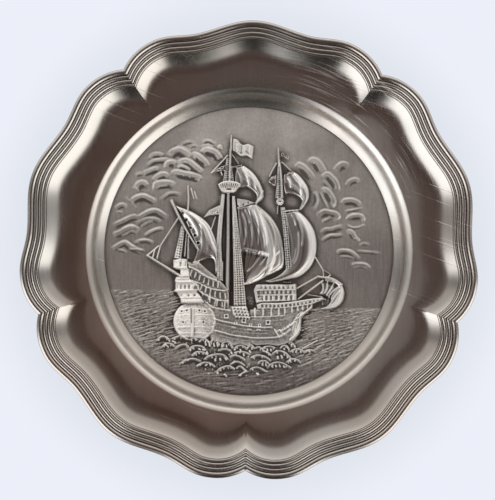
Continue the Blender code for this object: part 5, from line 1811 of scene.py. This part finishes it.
skyFinish = dict(
    bodyLook, worn=True, topPaintedLight=0.48, topPaintedLightRange=(-0.012, 0.072), borderRange=(0.0736, 0.0756), dullAbove=0.10,
    cloudScale=30.0, roughness=0.50, dull=0.22, streaks=0.45, specks=0.16, proudShare=1.1,
    gritScale=1500.0, gritSpecks=2.4, gritHeight=0.20,
    brightLow=(0.28, 0.252, 0.24), brightHigh=(0.47, 0.437, 0.42), polished=(0.92, 0.885, 0.84),
    scoured=(0.52, 0.485, 0.45), satin=(0.93, 0.905, 0.87), warm=(0.58, 0.49, 0.46),
    patina=(0.14, 0.125, 0.117), patinaFrom=0.06, patinaTo=0.50,
    mottleScale=35.0, grainScale=1400.0, grainHeight=0.016,
    brushStretch=(1000.0, 1000.0, 70.0), brushHeight=0.030, brushRough=0.2)
seaFinish = dict(
    skyFinish, topPaintedLight=0.40, topPaintedLightRange=(-0.070, -0.050), dullAbove=0.06, roughness=0.44,
    streaks=0.3, specks=0.28, brightLow=(0.24, 0.215, 0.205), brightHigh=(0.44, 0.41, 0.395),
    patina=(0.085, 0.075, 0.069), patinaFrom=0.0, patinaTo=0.34, grainHeight=0.022, brushHeight=0.016)
shipFinish = dict(
    skyFinish, topPaintedLight=0.0, roughness=0.36, dull=0.0, streaks=0.2, specks=0.15, proudShare=0.7,
    brightLow=(0.40, 0.42, 0.43), brightHigh=(0.50, 0.52, 0.53),
    patina=(0.075, 0.068, 0.062), patinaFrom=0.06, patinaTo=0.75,
    grainHeight=0.018, brushHeight=0.008, brushRough=0.12)
for name, look, pieces in (
        ("brushedPewter", bodyLook, [plateBody]), ("skyPewter", skyFinish, [sky]),
        ("seaPewter", seaFinish, [sea]), ("galleonPewter", shipFinish, [rig, hull])):
    material = pewter(name, look)
    for piece in pieces:
        piece.data.materials.append(material)
print("finishes made")

# Studio
studio = {
    "distance": 2.6, "lens": 356.3, "eyeX": -0.054, "eyeZ": -0.095, "aimX": -0.00078, "aimZ": 0.00052,
    "onAxis": (0.089, 0.060, 0.053), "onAxisAbove": (0.135, 0.102, 0.092), "overhead": (0.52, 0.49, 0.46),
    "behindLow": (0.88, 0.86, 0.82), "behindHigh": (0.46, 0.45, 0.44), "underneath": (0.05, 0.048, 0.045),
    "pale": (0.84, 0.865, 0.945), "paintedShadowNearPlate": (0.735, 0.765, 0.835),
    "panelRadiance": 18.5, "panelSize": 0.4, "panelPlace": (-0.35, -0.45, 0.80),
    "floorRadius": 12.0, "floorDrop": 1.2,
}


# brightness and colour round the tent, by the angle in degrees from the right over the top
tentRing = [
    (0, (0.40, 0.39, 0.37)), (7, (0.85, 0.84, 0.82)), (12, (1.7, 1.7, 1.68)), (58, (1.75, 1.75, 1.73)),
    (66, (0.45, 0.45, 0.45)), (74, (0.07, 0.065, 0.06)), (84, (0.03, 0.028, 0.025)), (98, (0.03, 0.028, 0.025)),
    (104, (0.05, 0.05, 0.045)), (109, (0.20, 0.195, 0.18)), (121, (1.65, 1.62, 1.54)),
    (170, (1.65, 1.62, 1.54)), (178, (0.45, 0.43, 0.42)), (190, (0.22, 0.215, 0.21)), (200, (0.40, 0.38, 0.36)),
    (212, (1.13, 1.08, 1.02)), (322, (1.13, 1.08, 1.02)), (336, (0.48, 0.45, 0.42)), (347, (0.14, 0.135, 0.13)),
    (360, (0.40, 0.39, 0.37)),
]


def lightTent():
    # soft boxes round the plate, seen as reflections: two tall ones low at the sides, one over the top
    world = bpy.data.worlds.new("lightTent")
    bpy.context.scene.world = world
    world.use_nodes = True
    graph = Graph(world.node_tree)
    way = graph.node("ShaderNodeTexCoord", None, None, 0)
    x, y, z = (graph.part(way, k) for k in (0, 1, 2))
    degrees = 180 / math.pi
    turn = graph.angle(z, x) * degrees
    tilt = graph.node("ShaderNodeMath", {"operation": "ARCCOSINE"}, {0: y * -1.0}) * degrees
    stops = [(angle / 360, colour) for angle, colour in tentRing]
    rings = graph.node("ShaderNodeValToRGB", {"stops": stops}, {0: (turn + 180) / 360})
    axis = graph.mixColour(graph.between(z, -0.02, 0.14), studio["onAxis"], studio["onAxisAbove"])
    over = graph.between(z, 0.15, 0.4)
    rings = graph.mixColour(over * (1 - graph.between(tilt, 52.0, 84.0)), rings, studio["overhead"])
    front = graph.mixColour(graph.between(tilt, 31.0 - 4.0 * over, 40.0), axis, rings)
    dim = graph.mixColour(graph.between(z, -0.4, -0.15), studio["behindLow"], studio["behindHigh"])
    dim = graph.mixColour(graph.between(z, -0.8, -0.6), studio["underneath"], dim)
    behind = graph.mixColour(graph.between(tilt, 99.0, 116.0), front, dim)
    lit = graph.node("ShaderNodeBackground", None, {"Color": behind, "Strength": 1.0})
    # the backdrop is pale, with a painted shadow a little darker close round the plate
    ahead = mathutils.Vector((-studio["eyeX"], studio["distance"], -studio["eyeZ"])).normalized()
    off = graph.node("ShaderNodeVectorMath", {"operation": "DOT_PRODUCT"}, {0: way, 1: tuple(ahead)}, 1)
    off = graph.node("ShaderNodeMath", {"operation": "ARCCOSINE"}, {0: off}) * degrees
    pale = graph.mixColour(graph.between(off, 2.4, 3.3), studio["paintedShadowNearPlate"], studio["pale"])
    seen = graph.node("ShaderNodeBackground", None, {"Color": pale, "Strength": 1.0})
    eye = graph.node("ShaderNodeLightPath", None, None, 0)
    mixed = graph.node("ShaderNodeMixShader", None, {0: eye, 1: lit, 2: seen})
    graph.node("ShaderNodeOutputWorld", None, {"Surface": mixed})


def keyPanel():
    # a soft panel over the left shoulder of the photographer; the dull, scoured metal takes its light
    data = bpy.data.lights.new("keyPanel", "AREA")
    data.shape, data.size = "SQUARE", studio["panelSize"]
    data.energy = studio["panelRadiance"] * math.pi * data.size ** 2
    panel = bpy.data.objects.new("keyPanel", data)
    panel.location = studio["panelPlace"]
    panel.rotation_euler = (-panel.location).to_track_quat("-Z", "Y").to_euler()
    panel.visible_glossy = False
    bpy.context.scene.collection.objects.link(panel)


def paleFloor():
    mesh = bpy.data.meshes.new("paleFloor")
    wide, turns = studio["floorRadius"], [k * math.pi / 48 for k in range(96)]
    points = [(wide * math.cos(a), wide * math.sin(a), -studio["floorDrop"]) for a in turns]
    mesh.from_pydata(points, [], [tuple(range(len(points)))])
    mesh.update()
    floor = showMesh("paleFloor", mesh)
    material = bpy.data.materials.new("paleFloor")
    material.use_nodes = True
    graph = Graph(material.node_tree)
    surface = graph.node("ShaderNodeBsdfPrincipled", None, {"Base Color": (0.86, 0.88, 0.92), "Roughness": 0.9})
    graph.node("ShaderNodeOutputMaterial", None, {"Surface": surface})
    mesh.materials.append(material)
    floor.visible_glossy = False


def camera():
    # the photographer stood a little to the left of the plate's axis and a little below it
    data = bpy.data.cameras.new("camera")
    data.lens = studio["lens"]
    data.sensor_width = 36.0
    eye = bpy.data.objects.new("camera", data)
    eye.location = (studio["eyeX"], -studio["distance"], studio["eyeZ"])
    aim = mathutils.Vector((studio["aimX"], -0.003, studio["aimZ"]))
    eye.rotation_euler = (aim - eye.location).to_track_quat("-Z", "Y").to_euler()
    bpy.context.scene.collection.objects.link(eye)
    bpy.context.scene.camera = eye


lightTent()
keyPanel()
paleFloor()
camera()
bpy.context.scene.view_settings.view_transform = "Standard"
bpy.context.scene.view_settings.look = "None"
print("studio set")
